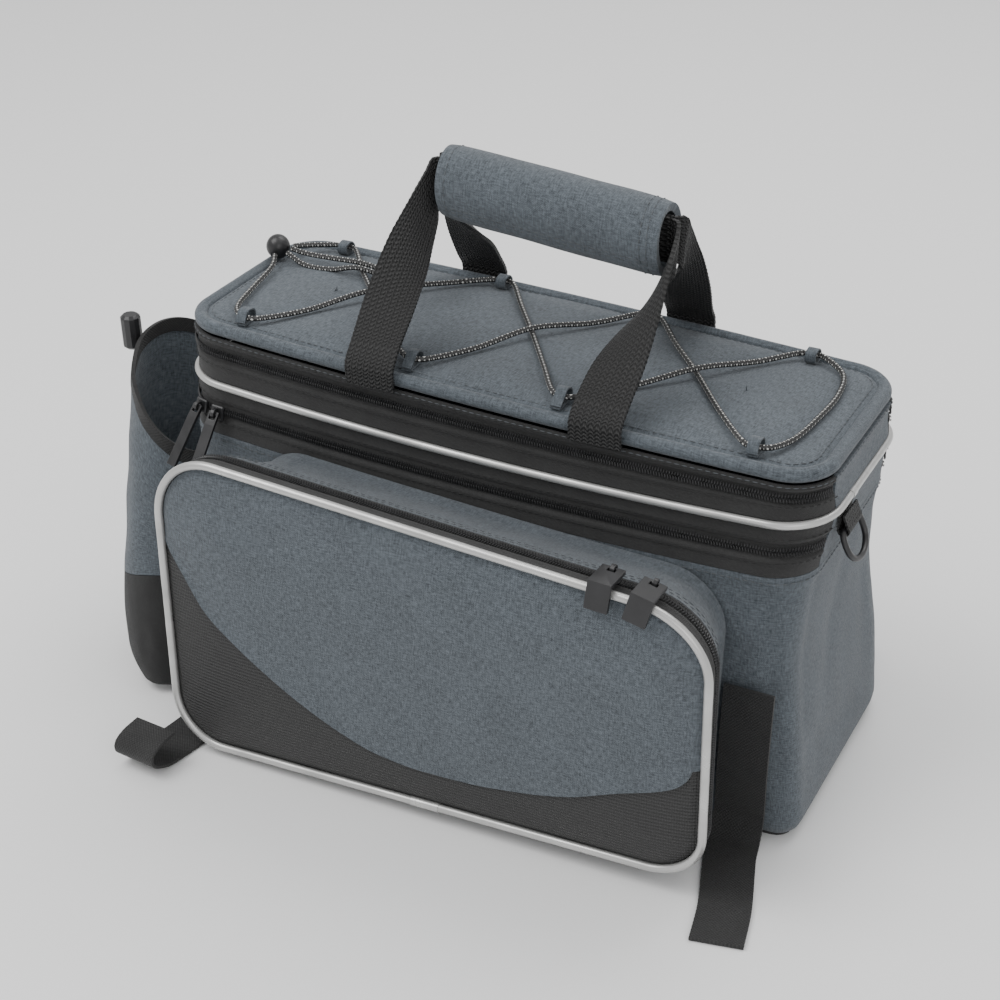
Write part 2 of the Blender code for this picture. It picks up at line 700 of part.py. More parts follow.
def build_toggle():
    """Cord lock seated on the outermost point of the bottle pocket's rim."""
    mesh = bpy.data.meshes.new("bottle_pocket_toggle")
    shape = bmesh.new()
    bmesh.ops.create_cone(shape, cap_ends=True, segments=12, radius1=TOGGLE_RADIUS,
                          radius2=TOGGLE_RADIUS, depth=TOGGLE_LENGTH)
    shape.to_mesh(mesh)
    shape.free()
    toggle = add_object("bottle_pocket_toggle", mesh, BLACK_PLASTIC)
    x, y, half_x, _ = [value * BAG_LENGTH / 2 for value in row_at(BOTTLE_ROWS, 0.8)]
    front_x, front_y = BOTTLE_RIM_FRONT
    rim_top = BOTTLE_RIM_HEIGHT + BOTTLE_RIM_SLOPE_X * (x - half_x - front_x)
    rim_top += BOTTLE_RIM_SLOPE_Y * (y - front_y)
    toggle.location = (x - half_x - TOGGLE_RADIUS - SEAT, y + TOGGLE_SHIFT, rim_top)
    edge = toggle.modifiers.new("edge", 'BEVEL')
    edge.width = 0.0018
    edge.segments = 1


def zip_frame(centre, along, outward):
    """Placement with local X along the zip and local -Y out of the cloth."""
    x_axis = Vector(along).normalized()
    y_axis = -Vector(outward).normalized()
    z_axis = x_axis.cross(y_axis)
    matrix = Matrix((x_axis, y_axis, z_axis)).transposed().to_4x4()
    matrix.translation = Vector(centre)
    return matrix


def slider_reach():
    """Distance from the cloth to the hinge of the pull."""
    return GAP + SLIDER_THICKNESS + ARCH_HOLE / 2 + ARCH_WALL * 0.2


def build_slider(name, frame):
    """Slider body with an arch over it, in one piece."""
    low = Vector((-SLIDER_LENGTH / 2, -GAP - SLIDER_THICKNESS, -SLIDER_WIDTH / 2))
    high = Vector((SLIDER_LENGTH / 2, -GAP, SLIDER_WIDTH / 2))
    slider = box(name, low, high, BLACK_PLASTIC)
    edge = slider.modifiers.new("edge", 'BEVEL')
    edge.width = 0.0007
    edge.segments = 1
    hinge = slider_reach()
    outer = ARCH_HOLE / 2 + ARCH_WALL
    hole = [(-hinge + ARCH_HOLE / 2 * math.cos(a), ARCH_HOLE / 2 * math.sin(a))
            for a in [math.pi * 2 * step / 6 for step in range(6)]]
    crown = [(-hinge + outer * math.cos(a), outer * math.sin(a))
             for a in [math.pi / 2 + math.pi * step / 5 for step in range(6)]]
    foot = -GAP - SLIDER_THICKNESS * 0.5
    outline = crown + [(foot, -outer), (foot, outer)]
    arch = as_cutter(plate(name + "_arch", [outline, hole], ARCH_WIDTH, None, CUTTERS))
    cut(slider, arch, 'UNION')
    slider.matrix_world = frame
    arch.matrix_world = frame
    return slider


def build_pull(name, frame, width, length, bend, lean):
    """Pull with a window round the slider's arch; its origin is on the hinge.

    bend is the window part's way (out, down) from the hinge, lean the plate's turn out of
    straight down in degrees.
    """
    window_end = Vector((-bend[0], -bend[1]))
    slope = math.radians(lean)
    tip = window_end + length * Vector((-math.sin(slope), -math.cos(slope)))
    half = PULL_THICKNESS / 2
    centres = [Vector((0.0, 0.0)), window_end, tip]
    first = (centres[1] - centres[0]).normalized()
    second = (centres[2] - centres[1]).normalized()
    middle = (first + second).normalized()
    widen = half / max(0.4, middle.dot(first))
    normals = [Vector((-first.y, first.x)) * half, Vector((-middle.y, middle.x)) * widen,
               Vector((-second.y, second.x)) * half]
    back = -first * PULL_BAR / 2
    starts = [centres[0] + back, centres[1], centres[2]]
    outline = [tuple(c + n) for c, n in zip(starts, normals)]
    outline += [tuple(c - n) for c, n in reversed(list(zip(starts, normals)))]
    pull = plate(name, [outline], width, BLACK_PLASTIC)
    inside = width / 2 - PULL_SIDE if width < 0.008 else ARCH_WIDTH / 2 + 0.0010
    reach = ARCH_HOLE / 2 + ARCH_WALL + 0.0009
    start = PULL_BAR / 2
    angle = math.atan2(first.y, first.x)
    window = cutter_box(name + "_window", (-inside, start, -0.004), (inside, reach, 0.004))
    window.rotation_euler = (angle, 0.0, 0.0)
    cut(pull, window)
    hinge = frame @ Matrix.Translation((0.0, -slider_reach(), 0.0))
    pull.matrix_world = hinge
    window.matrix_world = hinge @ Matrix.Rotation(angle, 4, 'X')
    return pull


def wall_place(x, height, offset):
    """Point on the front wall's left corner or face nearest an x, with its direction along."""
    ring = [Vector(point) for point in wall_ring(height, offset)]
    front = [point for point in ring if point.y < 0]
    front.sort(key=lambda point: point.x)
    for a, b in zip(front, front[1:]):
        if a.x <= x <= b.x:
            return a.lerp(b, (x - a.x) / (b.x - a.x)), (b - a).normalized()


def build_zip_hardware():
    stack = GAP + COIL_THICKNESS
    for number, x in ((1, -0.1730), (2, -0.1610)):
        centre, along = wall_place(x, LOWER_ZIP_HEIGHT, stack)
        above, _ = wall_place(x, LOWER_ZIP_HEIGHT + COIL_WIDTH / 2, stack)
        below, _ = wall_place(x, LOWER_ZIP_HEIGHT - COIL_WIDTH / 2, stack)
        frame = zip_frame(centre, along, along.cross(above - below))
        build_slider("lower_slider_%d" % number, frame)
        build_pull("lower_pull_%d" % number, frame, CORNER_PULL_WIDTH, CORNER_PULL_LENGTH,
                   (0.0032, 0.0062), 24)
    ring = [Vector(point) for point in pocket_ring(POCKET_ZIP_SHARE, SEAT + COIL_THICKNESS)]
    top = sorted([p for p in ring if p.z > POCKET_TOP * 0.75 and p.x > 0], key=lambda p: p.x)
    for number, x in ((1, 0.1100), (2, 0.1310)):
        for a, b in zip(top, top[1:]):
            if a.x <= x <= b.x:
                centre = a.lerp(b, (x - a.x) / (b.x - a.x))
                along = (b - a).normalized()
        outward = along.cross(Vector((0, 1, 0)))
        frame = zip_frame(centre, along, outward)
        build_slider("pocket_slider_%d" % number, frame)
        build_pull("pocket_pull_%d" % number, frame, POCKET_PULL_WIDTH, POCKET_PULL_LENGTH,
                   (0.0012, 0.0160), -78)
    build_hidden_slider(stack)


def build_hidden_slider(stack):
    """Plain slider of the lid's zip, out of sight at the back's left end."""
    half_length, half_depth, _, _ = wall_sizes(UPPER_ZIP_HEIGHT)
    x = -half_length * 0.7
    y = half_depth + SIDE_BOW * (1 - 0.7 ** 2) + stack + 0.0008
    z = settle(x, UPPER_ZIP_HEIGHT)
    slider = box("upper_slider", (x - 0.005, y, z - 0.004), (x + 0.005, y + 0.0035, z + 0.004),
                 BLACK_PLASTIC)
    edge = slider.modifiers.new("edge", 'BEVEL')
    edge.width = 0.0008
    edge.segments = 1


def cord_point(row):
    x, y, lift = row
    return (x, y, lid_surface(x, y) + CORD_RADIUS + SEAT + lift)


def build_cord():
    route = smooth_path([cord_point(row) for row in CORD_ROUTE], CORD_SPAN)
    tube("bungee_cord", route, CORD_RADIUS, BLACK_WEBBING)
    for number, rows in enumerate(TAIL_ROUTES, 1):
        tail = smooth_path([cord_point(row) for row in rows], TAIL_SPAN)
        tube("bungee_tail_%d" % number, tail, CORD_RADIUS, BLACK_WEBBING)
    mesh = bpy.data.meshes.new("cord_lock")
    shape = bmesh.new()
    bmesh.ops.create_uvsphere(shape, u_segments=12, v_segments=8, radius=LOCK_RADIUS)
    shape.to_mesh(mesh)
    shape.free()
    lock = add_object("cord_lock", mesh, BLACK_PLASTIC)
    x, y, lift = LOCK_CENTRE
    lock.location = (x, y, lid_surface(x, y) + LOCK_RADIUS + SEAT + lift)


def build_cord_loops():
    """Stitched cloth loops at the lid's edges that hold the elastic."""
    sets = (("front", FRONT_LOOPS, FRONT_LOOP_CORD_Y, -1.0), ("back", BACK_LOOPS, BACK_LOOP_CORD_Y, 1.0))
    for side, places, cords, sign in sets:
        for number, (x, cord_y) in enumerate(zip(places, cords), 1):
            centre_z = cord_point((x, cord_y, LOOP_LIFT))[2]
            hole_radius = CORD_RADIUS + LOOP_CLEARANCE
            outer = hole_radius + LOOP_WALL
            inner_y = cord_y - sign * LOOP_SLACK
            hole = arc_points(inner_y, centre_z, hole_radius, sign, 0, 180)
            hole += arc_points(cord_y, centre_z, hole_radius, sign, 180, 360)
            crown = arc_points(inner_y, centre_z, outer, sign, 0, 150)
            half_length, half_depth, _, _ = wall_sizes(LID_HEIGHT)
            bow = SIDE_BOW * (1 - (x / half_length) ** 2)
            end_y = sign * (half_depth + bow - 2 * HEM_RADIUS - 2 * GAP)
            end_z = lid_surface(x, end_y) + SEAT
            foot_y = inner_y + sign * outer * 0.5
            foot_z = lid_surface(x, foot_y) + SEAT
            tail = [(foot_y, foot_z), (end_y, end_z), (end_y, end_z + LOOP_WALL),
                    (cord_y + sign * outer * 0.9, centre_z + outer * 0.45),
                    (cord_y + sign * outer * 0.4, centre_z + outer * 0.9)]
            loop = plate("cord_loop_%s_%d" % (side, number), [crown + tail, hole], LOOP_WIDTH, GREY_CLOTH)
            loop.location.x = x


def arc_points(y, z, radius, sign, start, end):
    """Points on an arc from straight up, turning away from the lid's edge first."""
    steps = max(2, round((end - start) / 45))
    angles = [math.radians(start + (end - start) * step / steps) for step in range(steps + 1)]
    return [(y - sign * radius * math.sin(a), z + radius * math.cos(a)) for a in angles]


def grip_point(x):
    """Centre of the grip at an x, and the direction along it."""
    return Vector((x, 0.0, GRIP_HEIGHT + (x - GRIP_CENTRE_X) * math.sin(GRIP_TILT)))


def leg(foot_x, side, turn_x, sign):
    """Centres and half widths of one leg, from the lid's edge up to the grip."""
    _, half_depth, _, _ = wall_sizes(LID_HEIGHT)
    half_length = BAG_LENGTH / 2
    bow = SIDE_BOW * (1 - (foot_x / half_length) ** 2)
    foot_y = side * (half_depth + bow + GAP + 0.0007 + HANDLE_WEBBING_THICKNESS / 2)
    foot_z = settle(foot_x, LID_HEIGHT)
    top = grip_point(turn_x)
    inside_y = side * 0.0019
    centres = []
    halves = []
    for share_x, share_y, share_z, turn in LEG_ROWS:
        x = foot_x + (turn_x - foot_x) * share_x
        y = foot_y + (inside_y - foot_y) * share_y
        z = foot_z + (top.z - foot_z) * share_z
        angle = math.radians(turn)
        centres.append(Vector((x, y, z)))
        halves.append(Vector((math.cos(angle), 0.0, sign * math.sin(angle))) * HANDLE_WEBBING_WIDTH / 2)
    return centres, halves


def build_handle():
    half_grip = GRIP_LENGTH / 2
    left_end = GRIP_CENTRE_X - half_grip
    right_end = GRIP_CENTRE_X + half_grip
    for name, side, feet in (("handle_strap_front", -1.0, FRONT_FEET_X),
                             ("handle_strap_back", 1.0, BACK_FEET_X)):
        centres, halves = leg(feet[0], side, left_end - LEG_OUTREACH, -1.0)
        right_centres, right_halves = leg(feet[1], side, right_end + LEG_OUTREACH, 1.0)
        inner = [left_end - 0.002, left_end + 0.006, GRIP_CENTRE_X, right_end - 0.006, right_end + 0.002]
        down = Vector((0.0, 0.0, -1.0)) * HANDLE_WEBBING_WIDTH / 2 * 0.84
        centres += [grip_point(x) + Vector((0.0, side * 0.0016, 0.0)) for x in inner]
        halves += [down] * len(inner)
        centres += list(reversed(right_centres))
        halves += [-half for half in reversed(right_halves)]
        ribbon(name, centres, halves, HANDLE_WEBBING_THICKNESS, BLACK_WEBBING)
    rows = []
    for x in (left_end, left_end + half_grip * 0.12, GRIP_CENTRE_X, right_end - half_grip * 0.12,
              right_end):
        centre = grip_point(x)
        shrink = 0.94 if x in (left_end, right_end) else 1.0
        ring = []
        for step in range(20):
            angle = 2 * math.pi * step / 20
            ring.append((x, centre.y + shrink * GRIP_DEPTH / 2 * math.cos(angle),
                         centre.z + shrink * GRIP_THICKNESS / 2 * math.sin(angle)))
        rows.append(ring)
    thicken(loft("handle_grip", rows, GREY_CLOTH), GRIP_WALL)


def build_ring():
    """Webbing tab under the piping at the right end, with a hinged ring."""
    half_length, _, _, _ = wall_sizes(PIPING_HEIGHT - RING_TAB_DROP)
    hole_radius = RING_WIRE + GAP * 1.5
    outer = hole_radius + 0.0012
    hinge_x = half_length + outer + SEAT + 0.0004
    hinge_z = settle(hinge_x, PIPING_HEIGHT) - LID_PIPING_RADIUS - RING_TAB_DROP
    hole = [(hinge_x + hole_radius * math.cos(a), hinge_z + hole_radius * math.sin(a))
            for a in [2 * math.pi * step / 12 for step in range(12)]]
    round_part = [(hinge_x + outer * math.cos(a), hinge_z + outer * math.sin(a))
                  for a in [math.radians(t) for t in range(-180, 61, 24)]]
    top = hinge_z + RING_TAB_DROP - 0.0012
    outline = round_part + [(hinge_x - outer + 0.0026, top), (hinge_x - outer, top)]
    tab = plate("ring_tab", [[(-x, z) for x, z in outline], [(-x, z) for x, z in hole]],
                RING_TAB_WIDTH, BLACK_WEBBING)
    tab.rotation_euler = (0.0, 0.0, math.radians(90))
    tab.location = (0.0, RING_TAB_Y, 0.0)
    half = RING_WIDTH / 2 - RING_WIRE
    corner = 0.004
    points = [(-half + corner, 0.0), (0.0, 0.0), (half - corner, 0.0), (half - 0.0012, -0.0012), (half, -corner)]
    for step in range(9):
        angle = math.pi * step / 8
        points.append((half * math.cos(angle), -(RING_DROP - half * 0.75) - half * 0.75 * math.sin(angle)))
    points += [(-half, -corner), (-half + 0.0012, -0.0012)]
    lean = math.radians(24)
    ring = [(-z * math.sin(lean), y, z * math.cos(lean)) for y, z in points]
    d_ring = tube("d_ring", ring, RING_WIRE, BLACK_PLASTIC, cyclic=True)
    d_ring.location = (hinge_x, RING_TAB_Y, hinge_z)


def build_rack_straps():
    """Hook-and-loop straps sewn low on the front and back, running out at the floor."""
    half = RACK_STRAP_THICKNESS / 2
    floor_z = half + GAP
    top = RACK_STRAP_TOP
    clear = 2 * SEAT + half
    inward = RACK_STRAP_WIDTH / 2

    def on_wall(x, height, side):
        return Vector((x, side * (-front_wall_y(abs(x) - inward, height) + clear), height))

    sets = (
        ("rack_strap_front_right", 0.1650, -1.0, (
            (0.1655, -0.0985, 0.0032), (0.1675, -0.1090, floor_z), (0.1735, -0.1280, floor_z),
            (0.1800, -0.1490, floor_z), (0.1853, -0.1735, floor_z))),
        ("rack_strap_front_left", -0.1490, -1.0, (
            (-0.1505, -0.0985, 0.0032), (-0.1500, -0.1090, floor_z), (-0.1500, -0.1330, floor_z),
            (-0.1535, -0.1580, floor_z), (-0.1565, -0.1765, 0.0028), (-0.1575, -0.1865, 0.0085),
            (-0.1575, -0.1870, 0.0150), (-0.1570, -0.1800, 0.0185), (-0.1560, -0.1680, 0.0195))),
        ("rack_strap_back_right", 0.1500, 1.0, ((0.1520, 0.1010, 0.0380), (0.1530, 0.1050, 0.0240),
                                                (0.1530, 0.1010, 0.0090), (0.1520, 0.0945, 0.0040))),
        ("rack_strap_back_left", -0.1500, 1.0, ((-0.1520, 0.1010, 0.0380), (-0.1530, 0.1050, 0.0240),
                                                (-0.1530, 0.1010, 0.0090), (-0.1520, 0.0945, 0.0040))),
    )
    for name, x, side, rest in sets:
        wall_heights = (top, top * 0.66, top * 0.40, top * 0.16) if side < 0 else (top, top * 0.72, top * 0.56)
        knots = [on_wall(x, height, side) for height in wall_heights]
        knots += [Vector(point) for point in rest]
        centres = smooth_path(knots, STRAP_SPAN)
        widths = []
        for before, after in zip([centres[0]] + centres[:-1], centres[1:] + [centres[-1]]):
            run = after - before
            across = Vector((run.y, -run.x, 0.0)) if side < 0 else Vector((-run.y, run.x, 0.0))
            steep = abs(run.z) > 2.2 * math.hypot(run.x, run.y)
            direction = Vector((-1.0, 0.0, 0.0)) if steep else across.normalized()
            if direction.x > 0:
                direction = -direction
            widths.append(direction * RACK_STRAP_WIDTH / 2)
        ribbon(name, centres, widths, RACK_STRAP_THICKNESS, BLACK_WEBBING)


clear_scene()
PARTS = make_collection("bicycle_trunk_bag")
CUTTERS = make_collection("cutters")
build_body()
build_bands()
build_lid()
build_front_pocket()
build_bottle_pocket()
build_zip_hardware()
build_cord()
build_cord_loops()
build_handle()
build_ring()
build_rack_straps()
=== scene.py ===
"""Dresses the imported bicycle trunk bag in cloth, zips, webbing and elastic.

Metres, +Z up, +X to the bag's right end, -Y towards its front pocket.
"""
import math
from functools import lru_cache

import bmesh
import bpy
from bpy.props import FloatProperty, FloatVectorProperty, PointerProperty
from mathutils import Matrix, Vector, kdtree, noise


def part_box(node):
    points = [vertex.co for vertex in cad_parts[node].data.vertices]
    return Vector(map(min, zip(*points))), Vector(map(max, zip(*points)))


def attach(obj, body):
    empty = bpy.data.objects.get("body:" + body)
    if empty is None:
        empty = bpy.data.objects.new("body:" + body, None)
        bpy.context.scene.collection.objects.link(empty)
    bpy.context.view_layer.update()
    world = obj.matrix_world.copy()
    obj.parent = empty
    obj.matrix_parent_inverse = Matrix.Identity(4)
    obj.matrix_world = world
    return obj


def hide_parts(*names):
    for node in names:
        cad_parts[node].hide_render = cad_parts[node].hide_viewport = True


bl_info = {
    "name": "Bicycle trunk bag",
    "version": (1, 0, 0),
    "blender": (4, 5, 0),
    "location": "View3D > Sidebar > Trunk Bag",
    "description": "Cloth, zips, webbing and elastic of a bicycle trunk bag",
    "category": "Add Mesh",
}

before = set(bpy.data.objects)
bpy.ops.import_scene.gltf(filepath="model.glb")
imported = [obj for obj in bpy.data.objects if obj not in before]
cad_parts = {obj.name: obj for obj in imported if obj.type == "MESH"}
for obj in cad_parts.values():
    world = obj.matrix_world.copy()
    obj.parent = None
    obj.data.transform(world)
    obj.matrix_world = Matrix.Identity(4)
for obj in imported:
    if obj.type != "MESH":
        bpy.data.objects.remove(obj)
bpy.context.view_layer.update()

# Main box, as the solids have it
BAG_LENGTH = 0.380
LID_DEPTH = 0.131
BASE_DEPTH = 0.172
LID_HEIGHT = 0.2175
GUSSET_HEIGHT = 0.1575
PIPING_HEIGHT = 0.1850
LOWER_ZIP_HEIGHT = 0.1710
UPPER_ZIP_HEIGHT = 0.2015
LID_CORNER = 0.026
SIDE_BOW = 0.005
LID_DROOP = 0.0077
WAIST_SAG = 0.004
LID_CROWN = 0.003
LID_SINK = 0.0020
GAP = 0.0003
SEAT = 0.0006
BODY_WALL = 0.003
BAND_WALL = 0.002
BASE_THICKNESS = 0.003
LID_THICKNESS = 0.003
PIPING_RADIUS = 0.0022
HEM_RADIUS = 0.0040
END_BAND_HALF_WIDTH = 0.042

# Front pocket
POCKET_LEFT = -0.1505
POCKET_RIGHT = 0.1660
POCKET_TOP = 0.179
POCKET_BOTTOM = 0.0050
POCKET_FACE_Y = -0.1475
POCKET_CORNER = 0.038
POCKET_FOOT_CORNER = 0.030
POCKET_TUCK = 0.017
POCKET_DROOP = 0.012
POCKET_LIFT = 0.009
POCKET_LEAN = 0.007
POCKET_BULGE = 0.006
POCKET_WALL = 0.0018
POCKET_PIPING_RADIUS = 0.0023
POCKET_BAND_START = 0.72
POCKET_ZIP_SHARE = 0.82
POCKET_MIDDLE_Z = 0.09
SLEEVE_START = 0.742

# Bottle pocket
BOTTLE_WALL = 0.0016
BOTTLE_SEAM_HEIGHT = 0.054
BOTTLE_SEAM_RISE = 0.012
BOTTLE_RIM_HEIGHT = 0.128
BOTTLE_RIM_FRONT = (-0.190, -0.066)
BOTTLE_RIM_SLOPE_X = -0.67
BOTTLE_RIM_SLOPE_Y = 0.15
BINDING_WIDTH = 0.008

# Straps, handle and cord
WEBBING_WIDTH = 0.029
WEBBING_THICKNESS = 0.002
GRIP_LENGTH = 0.1275
GRIP_CENTRE_X = 0.0155
GRIP_HEIGHT = 0.2975
GRIP_TILT = -0.097
GRIP_DEPTH = 0.035
GRIP_THICKNESS = 0.040
GRIP_WALL = 0.0045
FLAP_TURN = 212
RACK_STRAP_WIDTH = 0.0275
RACK_STRAP_THICKNESS = 0.0018
RACK_STRAP_TOP = 0.0915
CORD_RADIUS = 0.0015
LOOP_WALL = 0.0011
LOOP_LIFT = 0.0022
LOOP_CLEARANCE = 0.0013
LOOP_SLACK = 0.0030
LOOP_WIDTH = 0.0060
LEG_OUTREACH = 0.0060
FRONT_FEET_X = (-0.0605, 0.0710)
BACK_FEET_X = (-0.0670, 0.0640)
RING_TAB_WIDTH = 0.020
RING_TAB_Y = -0.030

# height (share of the lid's), half length (share), depth (0 base, 1 lid), front and back corner
WALL_ROWS = (
    (0.000, 1.015, 0.00, 0.50, 1.50),
    (0.055, 1.025, -0.06, 0.50, 1.75),
    (0.250, 1.010, 0.03, 0.60, 1.60),
    (0.500, 0.975, 0.30, 0.75, 1.40),
    (0.724, 0.985, 0.62, 0.95, 1.20),
    (0.851, 1.004, 0.93, 1.10, 1.15),
    (0.926, 1.000, 1.00, 1.00, 1.00),
    (1.100, 1.000, 1.00, 1.00, 1.00),
)
# height (share of the lid's), share of the droop to the right, share of the waist's sag
SETTLE_ROWS = (
    (0.00, 0.00, 0.00), (0.40, 0.20, 0.00), (0.70, 0.55, 1.00), (0.86, 0.55, 1.00),
    (0.97, 1.00, 0.20), (1.00, 1.00, 0.00), (2.00, 1.00, 0.00),
)
# depth from the bag's wall (0) to the pocket's front rim (1), share of the pocket's tuck
POCKET_ROWS = ((0.00, 1.00), (0.15, 0.93), (0.45, 0.55), (0.72, 0.14), (0.82, 0.05), (1.00, 0.00))
# the seam over the ribbed lower panel, as shares of the pocket's width and height
FACE_SEAM = (
    (-0.050, 0.830), (0.044, 0.632), (0.093, 0.517), (0.147, 0.445), (0.201, 0.382), (0.275, 0.304),
    (0.355, 0.233), (0.424, 0.190), (0.504, 0.173), (0.584, 0.176), (0.684, 0.199), (0.775, 0.242),
    (0.856, 0.307), (0.949, 0.373), (0.972, 0.412), (0.980, 0.454), (1.050, 0.470),
)
# height (share of the lid's), centre x and y, half length and half depth (shares of the half length)
BOTTLE_ROWS = (
    (0.012, -1.010, -0.470, 0.080, 0.135),
    (0.030, -1.025, -0.460, 0.115, 0.175),
    (0.110, -1.055, -0.425, 0.155, 0.200),
    (0.260, -1.100, -0.330, 0.172, 0.215),
    (0.500, -1.140, -0.195, 0.178, 0.220),
    (0.800, -1.165, -0.070, 0.182, 0.215),
    (1.020, -1.180, -0.005, 0.180, 0.210),
)
# one leg of a handle strap: shares of the way in x, y and z, and the webbing's turn in degrees
LEG_ROWS = (
    (0.00, 0.000, -0.120, 0), (0.00, -0.004, -0.050, 0), (0.00, 0.004, 0.030, 0),
    (0.05, 0.110, 0.150, 0), (0.25, 0.320, 0.365, 12), (0.50, 0.560, 0.590, 40),
    (0.75, 0.760, 0.770, 66), (0.93, 0.900, 0.900, 79), (1.00, 0.955, 0.970, 86),
)
# route of the elastic over the lid: x, y, lift over the lid
CORD_ROUTE = (
    (-0.1790, 0.0195, 0.0045), (-0.1740, 0.0080, 0.0020), (-0.1690, -0.0180, 0.0010),
    (-0.1640, -0.0400, 0.0012), (-0.1580, -0.0510, 0.0020), (-0.1510, -0.0540, 0.0022),
    (-0.1430, -0.0530, 0.0019), (-0.1250, -0.0300, 0.0006), (-0.1020, 0.0030, 0.0038),
    (-0.0700, 0.0430, 0.0010), (-0.0540, 0.0560, 0.0020), (-0.0465, 0.0585, 0.0022),
    (-0.0390, 0.0555, 0.0019), (-0.0230, 0.0330, 0.0006), (-0.0010, 0.0030, 0.0002),
    (0.0210, -0.0280, 0.0006), (0.0370, -0.0510, 0.0020), (0.0440, -0.0535, 0.0022),
    (0.0510, -0.0510, 0.0019), (0.0720, -0.0250, 0.0006), (0.0960, 0.0030, 0.0038),
    (0.1180, 0.0320, 0.0010), (0.1340, 0.0525, 0.0020), (0.1420, 0.0560, 0.0022),
    (0.1500, 0.0545, 0.0019), (0.1630, 0.0430, 0.0002), (0.1680, 0.0180, 0.0002),
    (0.1670, -0.0100, 0.0002), (0.1640, -0.0350, 0.0004), (0.1580, -0.0510, 0.0019),
    (0.1500, -0.0545, 0.0022), (0.1420, -0.0520, 0.0019), (0.1190, -0.0260, 0.0004),
    (0.0960, 0.0030, 0.0002), (0.0720, 0.0310, 0.0006), (0.0540, 0.0545, 0.0020),
    (0.0464, 0.0590, 0.0022), (0.0390, 0.0560, 0.0019), (0.0220, 0.0320, 0.0008),
    (-0.0010, 0.0030, 0.0038), (-0.0200, -0.0270, 0.0008), (-0.0365, -0.0510, 0.0020),
    (-0.0440, -0.0540, 0.0022), (-0.0515, -0.0515, 0.0019), (-0.0770, -0.0280, 0.0006),
    (-0.1020, 0.0030, 0.0002), (-0.1260, 0.0310, 0.0004), (-0.1435, 0.0530, 0.0021),
    (-0.1510, 0.0555, 0.0022), (-0.1585, 0.0543, 0.0023), (-0.1690, 0.0460, 0.0030),
    (-0.1765, 0.0365, 0.0045),
)
TAIL_ROUTES = (
    ((-0.1735, 0.0290, 0.0060), (-0.1620, 0.0300, 0.0042), (-0.1450, 0.0310, 0.0042),
     (-0.1270, 0.0330, 0.0042), (-0.1100, 0.0360, 0.0008), (-0.1000, 0.0385, 0.0004)),
    ((-0.1735, 0.0245, 0.0050), (-0.1600, 0.0225, 0.0004), (-0.1430, 0.0235, 0.0004),
     (-0.1260, 0.0255, 0.0042), (-0.1100, 0.0290, 0.0010), (-0.1000, 0.0315, 0.0004)),
)
FRONT_LOOPS = (-0.1510, -0.0440, 0.0440, 0.1500)
BACK_LOOPS = (-0.1510, -0.0465, 0.0464, 0.1420)
FRONT_LOOP_CORD_Y = (-0.0540, -0.0540, -0.0535, -0.0545)
BACK_LOOP_CORD_Y = (0.0555, 0.0585, 0.0590, 0.0560)

# folds of the soft cloth: start, end, width, depth out of the cloth
BODY_FOLDS = (
    ((0.176, -0.072, 0.147), (0.193, -0.086, 0.030), 0.0035, 0.0006),
    ((0.168, -0.076, 0.140), (0.184, -0.088, 0.035), 0.0060, -0.0022),
    ((0.186, -0.050, 0.150), (0.196, -0.066, 0.060), 0.0080, -0.0016),
    ((0.187, 0.010, 0.148), (0.192, -0.030, 0.070), 0.0120, -0.0020),
    ((0.187, 0.048, 0.130), (0.193, 0.030, 0.050), 0.0100, -0.0014),
    ((0.192, -0.060, 0.045), (0.193, 0.010, 0.026), 0.0090, -0.0016),
    ((-0.186, 0.050, 0.140), (-0.192, 0.060, 0.050), 0.0120, -0.0020),
    ((-0.120, 0.080, 0.130), (-0.090, 0.090, 0.060), 0.0140, -0.0016),
    ((0.060, 0.080, 0.140), (0.095, 0.092, 0.070), 0.0150, -0.0018),
    ((-0.020, 0.085, 0.060), (0.040, 0.090, 0.040), 0.0140, -0.0014),
)
POCKET_FOLDS = (
    ((-0.120, -0.095, 0.164), (-0.105, -0.125, 0.176), 0.0045, -0.0020),
    ((-0.100, -0.095, 0.164), (-0.084, -0.125, 0.176), 0.0050, -0.0016),
    ((-0.060, -0.095, 0.163), (-0.050, -0.125, 0.174), 0.0060, -0.0012),
    ((0.030, -0.095, 0.161), (0.022, -0.125, 0.171), 0.0060, -0.0010),
    ((0.140, -0.100, 0.150), (0.150, -0.125, 0.158), 0.0050, -0.0016),
    ((0.156, -0.100, 0.110), (0.160, -0.130, 0.100), 0.0060, -0.0014),
    ((0.156, -0.100, 0.060), (0.160, -0.130, 0.052), 0.0060, -0.0016),
)
BOTTLE_FOLDS = (
    ((-0.222, -0.110, 0.046), (-0.212, -0.128, 0.014), 0.0035, -0.0020),
    ((-0.205, -0.115, 0.050), (-0.198, -0.125, 0.020), 0.0040, -0.0022),
    ((-0.232, -0.085, 0.040), (-0.224, -0.090, 0.012), 0.0050, -0.0020),
    ((-0.240, -0.070, 0.120), (-0.232, -0.090, 0.060), 0.0090, -0.0012),
)

# Camera
CAMERA_PLACE = (0.42303, -0.83750, 0.66222)
CAMERA_RIGHT = (0.88815, 0.45913, -0.01962)
CAMERA_UP = (-0.21537, 0.45357, 0.86481)
CAMERA_BACK = (0.40595, -0.76386, 0.50172)
CAMERA_LENS = 68.14
SENSOR = 36.0

# Floor and lights: name, place, size, power
FLOOR_SIZE = 30.0
FLOOR_DROP = 0.0003
WORLD_STRENGTH = 0.85
LIGHT_AIM = (0, 0, 0.1)
LIGHTS = (
    ("key", (-0.9, -0.7, 1.9), 1.3, 26.0),
    ("fill", (1.4, -1.3, 1.0), 1.2, 7.0),
    ("top", (0.2, 0.9, 1.7), 1.2, 14.0),
)


